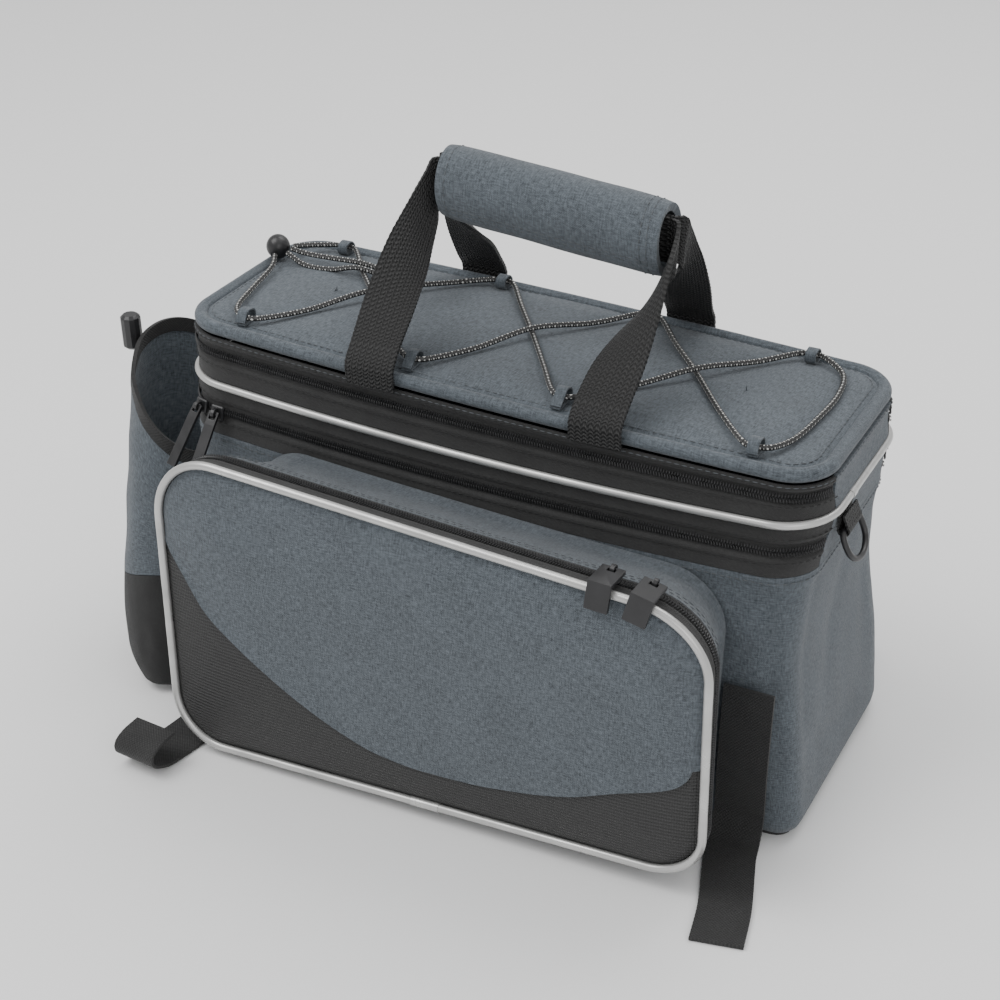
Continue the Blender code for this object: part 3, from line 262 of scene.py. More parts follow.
@lru_cache(maxsize=200000)
def row_at(rows, share):
    """Columns of a table at a share, on a smooth line between its rows."""
    last = len(rows) - 2
    index = last
    for number in range(len(rows) - 1):
        if share <= rows[number + 1][0]:
            index = number
            break
    a, b = rows[index], rows[index + 1]
    before, after = rows[max(0, index - 1)], rows[min(last + 1, index + 2)]
    span = b[0] - a[0]
    t = min(1.0, max(0.0, (share - a[0]) / span))
    found = []
    for column in range(1, len(a)):
        low = slope(before, a, b, column) * span
        high = slope(a, b, after, column) * span
        rise = b[column] - a[column]
        found.append(a[column] + low * t + (3 * rise - 2 * low - high) * t * t
                     + (low + high - 2 * rise) * t ** 3)
    return found


def slope(a, b, c, column):
    """Slope of a column at the middle of three rows, flat where it turns back."""
    first = (b[column] - a[column]) / (b[0] - a[0]) if b[0] != a[0] else None
    second = (c[column] - b[column]) / (c[0] - b[0]) if c[0] != b[0] else None
    if first is None or second is None:
        return second if first is None else first
    if first * second <= 0:
        return 0.0
    return 2 * first * second / (first + second)


def ease(value, low=0.0, high=1.0):
    """0 before low, 1 after high, smooth between."""
    t = min(1.0, max(0.0, (value - low) / (high - low)))
    return t * t * (3 - 2 * t)


def outline_point(t, left, right, low, high, radii):
    """Point on a rounded box's outline; t runs anticlockwise from the middle of its right side."""
    a, b, c, d = radii
    middle = (low + high) / 2
    sides = ((0.085, (right, middle), (right, high - a)),
             (0.030, (right - a, high - a), a, 0),
             (0.270, (right - a, high), (left + b, high)),
             (0.030, (left + b, high - b), b, 90),
             (0.170, (left, high - b), (left, low + c)),
             (0.030, (left + c, low + c), c, 180),
             (0.270, (left + c, low), (right - d, low)),
             (0.030, (right - d, low + d), d, 270),
             (0.085, (right, low + d), (right, middle)))
    t = t % 1.0 if t != 1.0 else 1.0
    for side in sides:
        if t <= side[0] or side is sides[-1]:
            share = t / side[0]
            if len(side) == 3:
                return Vector(side[1]).lerp(Vector(side[2]), share)
            angle = math.radians(side[3] + 90 * share)
            return Vector(side[1]) + side[2] * Vector((math.cos(angle), math.sin(angle)))
        t -= side[0]


@lru_cache(maxsize=200000)
def wall_sizes(height):
    length, depth, front, back = row_at(WALL_ROWS, height / LID_HEIGHT)
    half_depth = (BASE_DEPTH + (LID_DEPTH - BASE_DEPTH) * depth) / 2
    return BAG_LENGTH / 2 * length, half_depth, LID_CORNER * front, LID_CORNER * back


def settle(x, height):
    droop, sag = row_at(SETTLE_ROWS, height / LID_HEIGHT)
    along = x / (BAG_LENGTH / 2)
    return height - droop * LID_DROOP * along - sag * WAIST_SAG * (1 - along * along)


def wall_point(t, height, offset=0.0):
    """Point on the bag's wall at a height."""
    length, depth, front, back = wall_sizes(height)
    length += offset
    depth += offset
    radii = (back + offset, back + offset, front + offset, front + offset)
    x, y = outline_point(t, -length, length, -depth, depth, [max(0.001, r) for r in radii])
    bow = SIDE_BOW * (1 - (x / length) ** 2)
    return Vector((x, y + (bow if y > 0 else -bow if y < 0 else 0.0), settle(x, height)))


def wall_out(point):
    """Direction out of the wall, for the stitches on it."""
    return Vector((point.x * 0.3, point.y, 0)).normalized()


def front_wall_y(x, height):
    length, depth, _, _ = wall_sizes(height)
    return -depth - SIDE_BOW * (1 - (x / length) ** 2)


def lid_surface(x, y):
    along = min(1.0, abs(x) / (BAG_LENGTH / 2))
    across = min(1.0, abs(y) / (LID_DEPTH / 2))
    return settle(x, LID_HEIGHT) - LID_SINK + LID_CROWN * (1 - along ** 4) * (1 - across ** 2)


def pocket_settle(x, z):
    rightward = (x - POCKET_LEFT) / (POCKET_RIGHT - POCKET_LEFT)
    rise = z / POCKET_TOP
    return z - POCKET_DROOP * rise * x / (BAG_LENGTH / 2) + POCKET_LIFT * rightward * (1 - rise)


def pocket_face_y(x, z):
    leftward = (POCKET_RIGHT - x) / (POCKET_RIGHT - POCKET_LEFT)
    return POCKET_FACE_Y - POCKET_LEAN * leftward * (1 - z / POCKET_TOP)


def pocket_point(t, share, offset=0.0):
    """Point round the front pocket at a share of its depth."""
    shrink = POCKET_TUCK * row_at(POCKET_ROWS, share)[0]
    inset = -offset
    radii = [max(corner - inset - shrink * 0.3, 0.005)
             for corner in (POCKET_CORNER, POCKET_CORNER, POCKET_FOOT_CORNER, POCKET_FOOT_CORNER)]
    x, flat_z = outline_point(t, POCKET_LEFT + shrink + inset, POCKET_RIGHT - shrink - inset,
                              POCKET_BOTTOM + inset, POCKET_TOP - inset - shrink * 1.35, radii)
    z = pocket_settle(x, flat_z)
    wall = front_wall_y(x, min(z, GUSSET_HEIGHT)) - SEAT
    return Vector((x, wall + (pocket_face_y(x, flat_z) - wall) * share, z))


def cord_point(row):
    x, y, lift = row
    return Vector((x, y, lid_surface(x, y) + CORD_RADIUS + SEAT + lift))


def grip_point(x):
    return Vector((x, 0.0, GRIP_HEIGHT + (x - GRIP_CENTRE_X) * math.sin(GRIP_TILT)))


def smooth_path(points, span):
    """Points of a smooth curve through the given ones."""
    knots = [Vector(point) for point in points]
    knots = [2 * knots[0] - knots[1]] + knots + [2 * knots[-1] - knots[-2]]
    path = []
    for a, b, c, d in zip(knots, knots[1:], knots[2:], knots[3:]):
        steps = max(1, round((c - b).length / span))
        for step in range(steps):
            t = step / steps
            path.append(0.5 * (2 * b + (c - a) * t + (2 * a - 5 * b + 4 * c - d) * t * t
                               + (3 * b - a - 3 * c + d) * t ** 3))
    path.append(knots[-2])
    return path


def fold_depth(point, folds):
    """How far the folds move the cloth at a point."""
    moved = 0.0
    for start, end, width, depth in folds:
        a, b = Vector(start), Vector(end)
        run = b - a
        t = min(1.0, max(0.0, (point - a).dot(run) / run.length_squared))
        distance = (point - a - run * t).length / width
        if distance < 3.0:
            along = 0.35 + 0.65 * math.sin(math.pi * (0.1 + 0.8 * t))
            moved += depth * math.exp(-distance * distance) * along
    return moved


def ripple(point, size, amount):
    """Gentle unevenness of the cloth, inwards only."""
    return -amount * (0.5 + 0.5 * noise.noise(Vector(point) / size))


def select_only(piece):
    bpy.ops.object.select_all(action='DESELECT')
    piece.select_set(True)
    bpy.context.view_layer.objects.active = piece


def edit(piece, *steps):
    """Runs steps on the whole piece in edit mode."""
    select_only(piece)
    bpy.ops.object.mode_set(mode='EDIT')
    bpy.ops.mesh.select_all(action='SELECT')
    for step in steps:
        step()
    bpy.ops.object.mode_set(mode='OBJECT')


def merge(distance):
    return lambda: bpy.ops.mesh.remove_doubles(threshold=distance)


def select_all(action):
    """A step that selects or deselects the whole piece."""
    return lambda: bpy.ops.mesh.select_all(action=action)


def face_outward():
    bpy.ops.mesh.normals_make_consistent(inside=False)


def grid(name, columns, rows, place, span=(1.0, 1.0), join=0.0, away=None):
    """Cloth from a grid, each point set by place(across, up); its UV map is in metres."""
    bpy.ops.object.select_all(action='DESELECT')
    bpy.ops.mesh.primitive_grid_add(x_subdivisions=columns, y_subdivisions=rows, size=2.0)
    piece = bpy.context.active_object
    piece.name = piece.data.name = name
    mesh = piece.data
    shares = [((v.co.x + 1) / 2, (v.co.y + 1) / 2) for v in mesh.vertices]
    layer = mesh.uv_layers.active.data
    for loop in mesh.loops:
        u, v = shares[loop.vertex_index]
        layer[loop.index].uv = (u * span[0], v * span[1])
    for vertex, (u, v) in zip(mesh.vertices, shares):
        vertex.co = place(u, v)
    mesh.update()
    if join:
        edit(piece, merge(join))
    if away is not None:
        centre = Vector(away)
        facing = sum((p.center - centre).dot(p.normal) * p.area for p in piece.data.polygons)
        if facing < 0:
            edit(piece, bpy.ops.mesh.flip_normals)
    return piece


def thicken(piece, thickness, offset=-1.0):
    select_only(piece)
    wall = piece.modifiers.new("wall", 'SOLIDIFY')
    wall.thickness = thickness
    wall.offset = offset
    wall.use_even_offset = False
    bpy.ops.object.modifier_apply(modifier=wall.name)
    return piece


def tube(name, points, radius, up=(0, 0, 1), sides=14, closed=False, swell=None):
    """Round tube along points, its ends filled."""
    count = len(points)
    reference = Vector(up)
    frames = []
    for index, point in enumerate(points):
        if closed:
            run = points[(index + 1) % count] - points[index - 1]
        else:
            run = points[min(index + 1, count - 1)] - points[max(index - 1, 0)]
        side = run.cross(reference).normalized()
        frames.append((point, side, side.cross(run).normalized()))
    if closed:
        frames.append(frames[0])
    length = sum((b[0] - a[0]).length for a, b in zip(frames, frames[1:]))

    def place(u, v):
        point, side, top = frames[round(v * (len(frames) - 1))]
        angle = 2 * math.pi * u
        reach = radius * (swell(v, angle) if swell else 1.0)
        return point + reach * (math.cos(angle) * side + math.sin(angle) * top)

    piece = grid(name, sides, len(frames) - 1, place, (2 * math.pi * radius, length), 0.00001)
    steps = [] if closed else [select_all('DESELECT'), bpy.ops.mesh.select_non_manifold,
                               lambda: bpy.ops.mesh.fill_holes(sides=0)]
    edit(piece, *steps, select_all('SELECT'), face_outward)
    return piece


def ribbon(name, centres, halves, thickness, span=0.0015, serration=0.010, columns=12):
    """Flat webbing along centres, with a woven edge."""
    both = smooth_rows([(*c, *h) for c, h in zip(centres, halves)], span)
    rails = [(Vector(row[:3]), Vector(row[3:])) for row in both]
    length = sum((b[0] - a[0]).length for a, b in zip(rails, rails[1:]))
    width = 2 * rails[0][1].length

    def place(u, v):
        index = round(v * (len(rails) - 1))
        centre, half = rails[index]
        edge = abs(2 * u - 1)
        push = serration * (1 if index % 2 else -1) if edge > 0.99 else 0.0
        return centre + half * (2 * u - 1) * (1 + push)

    piece = grid(name, columns, len(rails) - 1, place, (width, length))
    return thicken(piece, thickness, 0.0)


def smooth_rows(rows, span):
    """Rows of numbers on smooth lines; the first three numbers are a place."""
    lists = [list(row) for row in rows]
    first = [2 * a - b for a, b in zip(lists[0], lists[1])]
    last = [2 * a - b for a, b in zip(lists[-1], lists[-2])]
    knots = [first] + lists + [last]
    found = []
    for a, b, c, d in zip(knots, knots[1:], knots[2:], knots[3:]):
        steps = max(1, round((Vector(c[:3]) - Vector(b[:3])).length / span))
        for step in range(steps):
            t = step / steps
            found.append([0.5 * (2 * q + (r - p) * t + (2 * p - 5 * q + 4 * r - s) * t * t
                                 + (3 * q - p - 3 * r + s) * t ** 3) for p, q, r, s in zip(a, b, c, d)])
    found.append(lists[-1])
    return found


def walk(points, step):
    """Places and directions at even steps along points."""
    found = []
    carried = step / 2
    for a, b in zip(points, points[1:]):
        run = b - a
        length = run.length
        while carried <= length and length > 0:
            found.append((a + run * (carried / length), run / length))
            carried += step
        carried -= length
    return found


def scatter(name, template, places):
    """One mesh from many copies of a template's points, each set by its matrix."""
    vertices, faces = template
    points, polygons = [], []
    for matrix in places:
        start = len(points)
        points += [matrix @ Vector(v) for v in vertices]
        polygons += [[start + index for index in face] for face in faces]
    mesh = bpy.data.meshes.new(name)
    mesh.from_pydata(points, [], polygons)
    piece = bpy.data.objects.new(name, mesh)
    bpy.context.scene.collection.objects.link(piece)
    edit(piece, face_outward)
    return piece


def capsule(length, radius, sides=6, lift=1.0):
    """Points and faces of a thread along X with round ends, from a sphere stretched out."""
    bpy.ops.object.select_all(action='DESELECT')
    bpy.ops.mesh.primitive_uv_sphere_add(segments=sides, ring_count=4, radius=1.0)
    ball = bpy.context.active_object
    vertices = []
    for v in ball.data.vertices:
        x, y, z = v.co.z, v.co.x, v.co.y
        vertices.append((x * length / 2, y * radius, z * radius * lift))
    faces = [list(p.vertices) for p in ball.data.polygons]
    bpy.data.objects.remove(ball, do_unlink=True)
    return vertices, faces


def turn(place, along, out):
    """Matrix with X along and Z out of the cloth."""
    x = along.normalized()
    y = out.cross(x).normalized()
    z = x.cross(y)
    matrix = Matrix((x, y, z)).transposed().to_4x4()
    matrix.translation = place
    return matrix


def stitches(name, lines, length=0.0030, step=0.0041, radius=0.00032):
    """Rows of thread; each line is a list of places and the direction out of its cloth."""
    places = []
    for points, out in lines:
        for place, along in walk(points, step):
            direction = out(place) if callable(out) else Vector(out)
            places.append(turn(place + direction * radius * 0.4, along, direction))
    return scatter(name, capsule(length, radius), places)


def dress(piece, finish, nodes, body="bag", angle=45):
    """Gives a finished piece its material and its body, and hides the solids that it stands for."""
    piece.data.materials.clear()
    piece.data.materials.append(FINISHES[finish])
    select_only(piece)
    bpy.ops.object.shade_smooth_by_angle(angle=math.radians(angle))
    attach(piece, body)
    if nodes:
        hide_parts(*nodes)
    return piece


# Materials

class Value:
    """A socket's output, with Python's operators for shader maths."""

    def __init__(self, graph, socket):
        self.graph = graph
        self.socket = socket

    def maths(self, operation, *others):
        return self.graph.node('ShaderNodeMath', {'operation': operation}, dict(enumerate([self, *others])))

    def __add__(self, other):
        return self.maths('ADD', other)

    def __sub__(self, other):
        return self.maths('SUBTRACT', other)

    def __mul__(self, other):
        return self.maths('MULTIPLY', other)

    __radd__ = __add__
    __rmul__ = __mul__

    def wave(self):
        return self.maths('SINE')

    def size(self):
        return self.maths('ABSOLUTE')


class Graph:
    """Nodes of one material."""

    def __init__(self, name):
        self.material = bpy.data.materials.new(name)
        self.material.use_nodes = True
        self.tree = self.material.node_tree
        self.shader = self.tree.nodes["Principled BSDF"]

    def node(self, kind, settings=None, inputs=None, output=0):
        made = self.tree.nodes.new(kind)
        for key, value in (settings or {}).items():
            if key == 'stops':
                for index, (place, colour) in enumerate(value):
                    ramp = made.color_ramp.elements
                    stop = ramp[index] if index < len(ramp) else ramp.new(place)
                    stop.position = place
                    stop.color = (*colour, 1.0)
            else:
                setattr(made, key, value)
        for key, value in (inputs or {}).items():
            if isinstance(value, Value):
                self.tree.links.new(value.socket, made.inputs[key])
            else:
                made.inputs[key].default_value = value
        return Value(self, made.outputs[output])

    def place(self):
        return self.node('ShaderNodeTexCoord', output='Object')

    def cloth_uv(self):
        uv = self.node('ShaderNodeUVMap', {'uv_map': 'UVMap'})
        return uv, self.axis(uv, 'X'), self.axis(uv, 'Y')

    def axis(self, vector, name):
        return self.node('ShaderNodeSeparateXYZ', {}, {0: vector}, output=name)

    def stretched(self, vector, scale):
        return self.node('ShaderNodeMapping', {}, {'Vector': vector, 'Scale': scale})

    def noise(self, vector, scale, detail=2.0, roughness=0.5):
        return self.node('ShaderNodeTexNoise', {},
                         {'Vector': vector, 'Scale': scale, 'Detail': detail, 'Roughness': roughness})

    def mix(self, factor, first, second):
        first = first if isinstance(first, Value) else (*first, 1.0)
        second = second if isinstance(second, Value) else (*second, 1.0)
        return self.node('ShaderNodeMix', {'data_type': 'RGBA', 'clamp_factor': True},
                         {0: factor, 6: first, 7: second}, output=2)

    def range(self, value, low, high, to_low=0.0, to_high=1.0):
        return self.node('ShaderNodeMapRange', {}, {0: value, 1: low, 2: high, 3: to_low, 4: to_high})

    def finish(self, colour=None, roughness=None, height=None, depth=0.0003, strength=0.6, **fixed):
        for key, value in (('Base Color', colour), ('Roughness', roughness)):
            if isinstance(value, Value):
                self.tree.links.new(value.socket, self.shader.inputs[key])
            elif value is not None:
                self.shader.inputs[key].default_value = (*value, 1.0) if key == 'Base Color' else value
        for key, value in fixed.items():
            self.shader.inputs[key.replace('_', ' ')].default_value = value
        if height is not None:
            bump = self.node('ShaderNodeBump', {}, {'Strength': strength, 'Distance': depth,
                                                    'Height': height})
            self.tree.links.new(bump.socket, self.shader.inputs['Normal'])
        return self.material


def heather_cloth(name, dark, pale):
    """Grey cloth of mottled yarns crossing each other."""
    g = Graph(name)
    uv, u, v = g.cloth_uv()
    pitch = 2 * math.pi / 0.0011
    weft = g.noise(g.stretched(uv, (260.0, 1250.0, 1.0)), 1.0, 3.0, 0.6)
    warp = g.noise(g.stretched(uv, (1250.0, 260.0, 1.0)), 1.0, 3.0, 0.6)
    cloud = g.noise(uv, 42.0, 3.0, 0.55)
    over = (u * pitch).wave() * (v * pitch).wave()
    mottle = (weft + warp) * 0.5 + over * 0.045 + (cloud - 0.5) * 0.14
    colour = g.mix(g.range(mottle, 0.34, 0.66), dark, pale)
    return g.finish(colour, g.range(cloud, 0.3, 0.7, 0.82, 0.93), over * 0.5 + weft * 0.8 + warp * 0.8,
                    depth=0.00030, strength=0.55, Sheen_Weight=0.12, Sheen_Roughness=0.5)


def canvas(name, colour, pitch_size=0.0009, contrast=0.5):
    """Plain dark woven cloth."""
    g = Graph(name)
    uv, u, v = g.cloth_uv()
    pitch = 2 * math.pi / pitch_size
    over = (u * pitch).wave() * (v * pitch).wave()
    dust = g.noise(uv, 60.0, 3.0)
    speck = g.noise(uv, 900.0, 2.0)
    base = g.mix(g.range(over * 0.3 + speck, 0.2, 0.9), [c * (1 - contrast) for c in colour],
                 [c * (1 + contrast) for c in colour])
    return g.finish(base, g.range(dust, 0.3, 0.7, 0.70, 0.88), over + speck, depth=0.00028,
                    strength=0.6, Sheen_Weight=0.08)


def ribbed_nylon(name, colour):
    """Black nylon with fine cross ribs, each broken into short yarns."""
    g = Graph(name)
    uv, u, v = g.cloth_uv()
    rib = (v * (2 * math.pi / 0.0021)).wave()
    yarn = (u * (2 * math.pi / 0.0013)).wave()
    speck = g.noise(uv, 700.0, 2.0)
    base = g.mix(g.range(rib * 0.5 + yarn * 0.25 + speck, 0.0, 1.2), [c * 0.45 for c in colour],
                 [c * 1.7 for c in colour])
    return g.finish(base, g.range(speck, 0.3, 0.7, 0.42, 0.62), rib + yarn * 0.4 + speck * 0.4,
                    depth=0.0004, strength=0.7)


def webbing(name, colour):
    """Coarse woven strap with a herringbone."""
    g = Graph(name)
    uv, u, v = g.cloth_uv()
    band = (u * (2 * math.pi / 0.0072)).wave().size()
    twill = ((v + band * 0.0016) * (2 * math.pi / 0.0024)).wave()
    cord = (u * (2 * math.pi / 0.0018)).wave()
    speck = g.noise(uv, 800.0, 2.0)
    base = g.mix(g.range(twill * 0.5 + cord * 0.3 + speck, -0.1, 1.3), [c * 0.45 for c in colour],
                 [c * 2.0 for c in colour])
    return g.finish(base, g.range(speck, 0.3, 0.7, 0.55, 0.75), twill + cord * 0.6 + speck * 0.3,
                    depth=0.0005, strength=0.8)


def silver_tape(name, colour):
    """Reflective piping with a fine beaded skin."""
    g = Graph(name)
    uv, _, _ = g.cloth_uv()
    bead = g.noise(uv, 2500.0, 1.0)
    wear = g.noise(uv, 35.0, 3.0)
    base = g.mix(g.range(wear, 0.3, 0.75), colour, [c * 0.72 for c in colour])
    return g.finish(base, g.range(wear, 0.3, 0.7, 0.24, 0.40), bead, depth=0.0001, strength=0.25,
                    Metallic=0.55)


def moulded(name, colour, roughness=0.35):
    """Black moulded plastic with a fine eggshell texture."""
    g = Graph(name)
    place = g.place()
    fine = g.noise(place, 1800.0, 2.0)
    wear = g.noise(place, 120.0, 3.0)
    base = g.mix(g.range(wear, 0.35, 0.75), colour, [c * 1.7 for c in colour])
    return g.finish(base, g.range(wear, 0.3, 0.7, roughness - 0.07, roughness + 0.1), fine,
                    depth=0.0001, strength=0.3)


def flecked_cord(name, colour, fleck):
    """Braided elastic with a pale reflective thread that comes up at each turn."""
    g = Graph(name)
    uv, u, v = g.cloth_uv()
    braid = ((v * (2 * math.pi / 0.0034)) + (u * (2 * math.pi / 0.0047))).wave()
    cross = ((v * (2 * math.pi / 0.0034)) - (u * (2 * math.pi / 0.0047))).wave()
    speck = g.noise(uv, 900.0, 2.0)
    pale = g.range(braid * cross + braid * 0.25, 0.52, 0.72)
    base = g.mix(pale, colour, fleck)
    return g.finish(base, 0.5, braid * cross + speck * 0.5, depth=0.0004, strength=0.8)


def floor_paint(name, colour):
    g = Graph(name)
    place = g.place()
    cloud = g.noise(place, 3.0, 3.0)
    return g.finish(g.mix(g.range(cloud, 0.3, 0.7), colour, [c * 0.985 for c in colour]),
                    g.range(cloud, 0.3, 0.7, 0.55, 0.62))


FINISHES = {}


def make_finishes(colours):
    dark, pale = list(colours.grey_dark), list(colours.grey_pale)
    black = list(colours.black)
    FINISHES.update({
        "heather": heather_cloth("heather_cloth", dark, pale),
        "canvas": canvas("charcoal_canvas", [c * 1.35 for c in black]),
        "tape": canvas("zip_tape", [c * 0.8 for c in black], 0.0016, 0.6),
        "ribbed": ribbed_nylon("ribbed_nylon", [c * 1.15 for c in black]),
        "soft_black": canvas("soft_black_cloth", [c * 0.95 for c in black], 0.0008, 0.35),
        "webbing": webbing("black_webbing", [c * 0.75 for c in black]),
        "hook": canvas("hook_and_loop", [c * 1.05 for c in black], 0.0019, 0.6),
        "silver": silver_tape("silver_piping", list(colours.silver)),
        "plastic": moulded("moulded_plastic", [0.012, 0.012, 0.013]),
        "rubber": moulded("rubbery_plastic", [0.014, 0.014, 0.015], 0.50),
        "coil": moulded("coil_nylon", [0.020, 0.020, 0.021], 0.30),
        "cord": flecked_cord("flecked_elastic", [0.018, 0.018, 0.018], [0.62, 0.62, 0.60]),
        "thread_grey": moulded("grey_thread", [0.060, 0.066, 0.072], 0.70),
        "thread_black": moulded("black_thread", [0.012, 0.012, 0.012], 0.70),
        "board": moulded("base_board", [0.016, 0.016, 0.017], 0.55),
        "floor": floor_paint("pale_floor", list(colours.floor)),
    })


# Pieces

def band_ends():
    """Shares of the way round where the grey end band begins and ends."""
    for step in range(400):
        if wall_point(step / 2000, PIPING_HEIGHT).y >= END_BAND_HALF_WIDTH:
            return step / 2000
    return 0.08


def build_body():
    foot = BASE_THICKNESS + GAP

    def place(u, v):
        if v < 0.04:
            x, y, _ = wall_point(u, foot, -0.003 - 0.030 * (1 - v / 0.04))
            return Vector((x, y, foot))
        height = foot + (GUSSET_HEIGHT - foot) * (v - 0.04) / 0.96
        turned = 1 - ease(height, foot, 0.012)
        point = wall_point(u, height, -0.003 * turned)
        out = (wall_point(u, height, 0.002) - wall_point(u, height)).normalized()
        fade = ease(height, 0.006, 0.030)
        fade *= 1 - ease(height, GUSSET_HEIGHT - 0.012, GUSSET_HEIGHT - 0.001)
        depth = fold_depth(point, BODY_FOLDS) + ripple(point, 0.045, 0.0016) + ripple(point, 0.014, 0.0005)
        point = point + out * depth * fade
        if height < 0.012:
            point.z = foot + (point.z - foot) * ease(height, foot, 0.012)
        return point

    body = grid("body_cloth", 360, 76, place, (1.06, 0.175), 0.00001, away=(0, 0, 0.09))
    edit(body, select_all('DESELECT'), select_low_rim(foot + 0.0002), bpy.ops.mesh.edge_face_add,
         select_all('SELECT'), face_outward)
    thicken(body, BODY_WALL)
    dress(body, "heather", ["body_shell"])
    top = GUSSET_HEIGHT - 0.0032
    rows = [([wall_point(t / 400, top, 0.0001) for t in range(401)],
             wall_out)]
    dress(stitches("body_stitches", rows), "thread_grey", [])


def select_low_rim(height):
    """A step that selects the open edge under a height."""
    def step():
        mesh = bmesh.from_edit_mesh(bpy.context.edit_object.data)
        for edge in mesh.edges:
            edge.select_set(edge.is_boundary and all(v.co.z < height for v in edge.verts))
        bmesh.update_edit_mesh(bpy.context.edit_object.data)
    return step


def build_bands():
    start = band_ends()
    seam = PIPING_RADIUS + GAP
    hem_foot = LID_HEIGHT - 2 * HEM_RADIUS - GAP
    levels = (("lower", GUSSET_HEIGHT + GAP, LOWER_ZIP_HEIGHT, PIPING_HEIGHT - seam),
              ("upper", PIPING_HEIGHT + seam, UPPER_ZIP_HEIGHT, hem_foot))
    for level, foot, zip_height, top in levels:
        def profile(height, zip_height=zip_height, foot=foot, top=top):
            """Tape let in between two folded canvas edges."""
            away = abs(height - zip_height)
            let_in = -0.0009 * (1 - ease(away, 0.0036, 0.0046))
            fold = 0.0005 * math.exp(-((away - 0.0056) / 0.0011) ** 2)
            return let_in + fold

        def place(u, v, foot=foot, top=top, profile=profile, low=start + 0.0006, high=1 - start - 0.0006):
            height = foot + (top - foot) * v
            t = low + (high - low) * u
            point = wall_point(t, height, profile(height))
            out = (wall_point(t, height, 0.002) - wall_point(t, height)).normalized()
            return point + out * ripple(point, 0.030, 0.0006) * math.sin(math.pi * v)

        dark = grid(level + "_band_canvas", 340, 34, place, (0.95, top - foot), away=(0, 0, 0.18))
        dress(thicken(dark, BAND_WALL), "canvas", [level + "_zip_band"])

        def end_place(u, v, foot=foot, top=top):
            height = foot + (top - foot) * v
            point = wall_point(-start + 2 * start * u, height)
            return point + Vector((ripple(point, 0.018, 0.0012) * math.sin(math.pi * v), 0, 0))

        grey = grid(level + "_end_cloth", 60, 24, end_place, (0.09, top - foot), away=(0, 0, 0.18))
        dress(thicken(grey, BAND_WALL), "heather", [level + "_end_band"])
        line = [wall_point(start + 0.002 + (1 - 2 * start - 0.004) * k / 700, zip_height, -0.0004)
                for k in range(701)]
        build_coil(level + "_coil", line, [level + "_zip_coil"], (0, 0, 1))
        rows = [([wall_point(start + (1 - 2 * start) * k / 400, zip_height + side * 0.0062, 0.0005)
                  for k in range(401)], wall_out)
                for side in (-1, 1)]
        dress(stitches(level + "_band_stitches", rows), "thread_black", [])
    ring = [wall_point(t / 500, PIPING_HEIGHT, GAP) for t in range(500)]
    piping = tube("lid_piping_tube", ring, PIPING_RADIUS, closed=True,
                  swell=lambda v, a: 1 + 0.05 * noise.noise(Vector((v * 60, 0.0, 2.0))))
    dress(piping, "silver", ["lid_piping"])
    sleeve = [wall_point(t / 1000, PIPING_HEIGHT, GAP) for t in range(948, 961)]
    dress(tube("lid_piping_sleeve", sleeve, PIPING_RADIUS + 0.00035), "silver", [])


def build_coil(name, line, nodes, across, out=None):
    """Two rows of moulded turns meeting on the zip's centre line."""
    axis = Vector(across)
    places = []
    for index, (place, along) in enumerate(walk(line, 0.00075)):
        side = 1 if index % 2 else -1
        outward = out(place, along) if out else along.cross(axis).normalized()
        cross = outward.cross(along).normalized()
        lean = (along * 0.22 * side + cross).normalized()
        places.append(turn(place + cross * side * 0.00115 + outward * 0.00055, lean, outward))
    coil = scatter(name, capsule(0.0034, 0.00042, 6, 1.5), places)
    return dress(coil, "coil", nodes)


def build_lid():
    ring = [wall_point(t / 500, LID_HEIGHT - HEM_RADIUS, -HEM_RADIUS) for t in range(500)]

    def pucker(v, angle):
        groove = 0.10 * math.exp(-((angle - math.radians(118)) / 0.22) ** 2)
        return 1 - groove - 0.035 * (0.5 + 0.5 * noise.noise(Vector((v * 90, math.cos(angle), 0.0))))

    hem = tube("lid_hem_roll", ring, HEM_RADIUS, sides=28, closed=True, swell=pucker)
    dress(hem, "heather", ["lid_hem"])
    cords = smooth_path([cord_point(row) for row in CORD_ROUTE], 0.003)
    near = kdtree.KDTree(len(cords))
    for index, point in enumerate(cords):
        near.insert(Vector((point.x, point.y, 0.0)), index)
    near.balance()
    length, depth, front, _ = wall_sizes(LID_HEIGHT)
    edge = 2 * HEM_RADIUS - 0.0004
    sizes = bpy.context.scene.bag_sizes

    def place(u, v):
        inset = edge + (depth - edge) * v
        radius = max(front - inset, 0.0008)
        x, y = outline_point(u, -length + inset, length - inset, -depth + inset, depth - inset, (radius,) * 4)
        bow = SIDE_BOW * (1 - (x / length) ** 2) * (1 - v)
        y += bow if y > 0 else -bow
        apart = near.find(Vector((x, y, 0.0)))[2]
        puff = sizes.lid_puff * ease(inset - edge, 0.0, 0.016) * (1 - math.exp(-(apart / 0.010) ** 2))
        rim = -0.0010 * (1 - ease(inset - edge, 0.0, 0.004))
        wave = 0.0005 * noise.noise(Vector((x, y, 0.0)) / 0.040) * ease(apart, 0.003, 0.014)
        return Vector((x, y, lid_surface(x, y) + puff + rim + wave))

    lid = grid("lid_cloth", 400, 44, place, (1.0, 1.0), 0.00012, away=(0, 0, 0.1))
    set_flat_uv(lid)
    thicken(lid, LID_THICKNESS)
    dress(lid, "heather", ["lid_panel"])
    inner = [lid_edge(t / 400, edge + 0.0030) for t in range(401)]
    outer = [wall_point(t / 400, LID_HEIGHT - 0.0092, 0.0001) for t in range(401)]
    rows = [(inner, (0, 0, 1)), (outer, wall_out)]
    dress(stitches("lid_stitches", rows), "thread_grey", [])


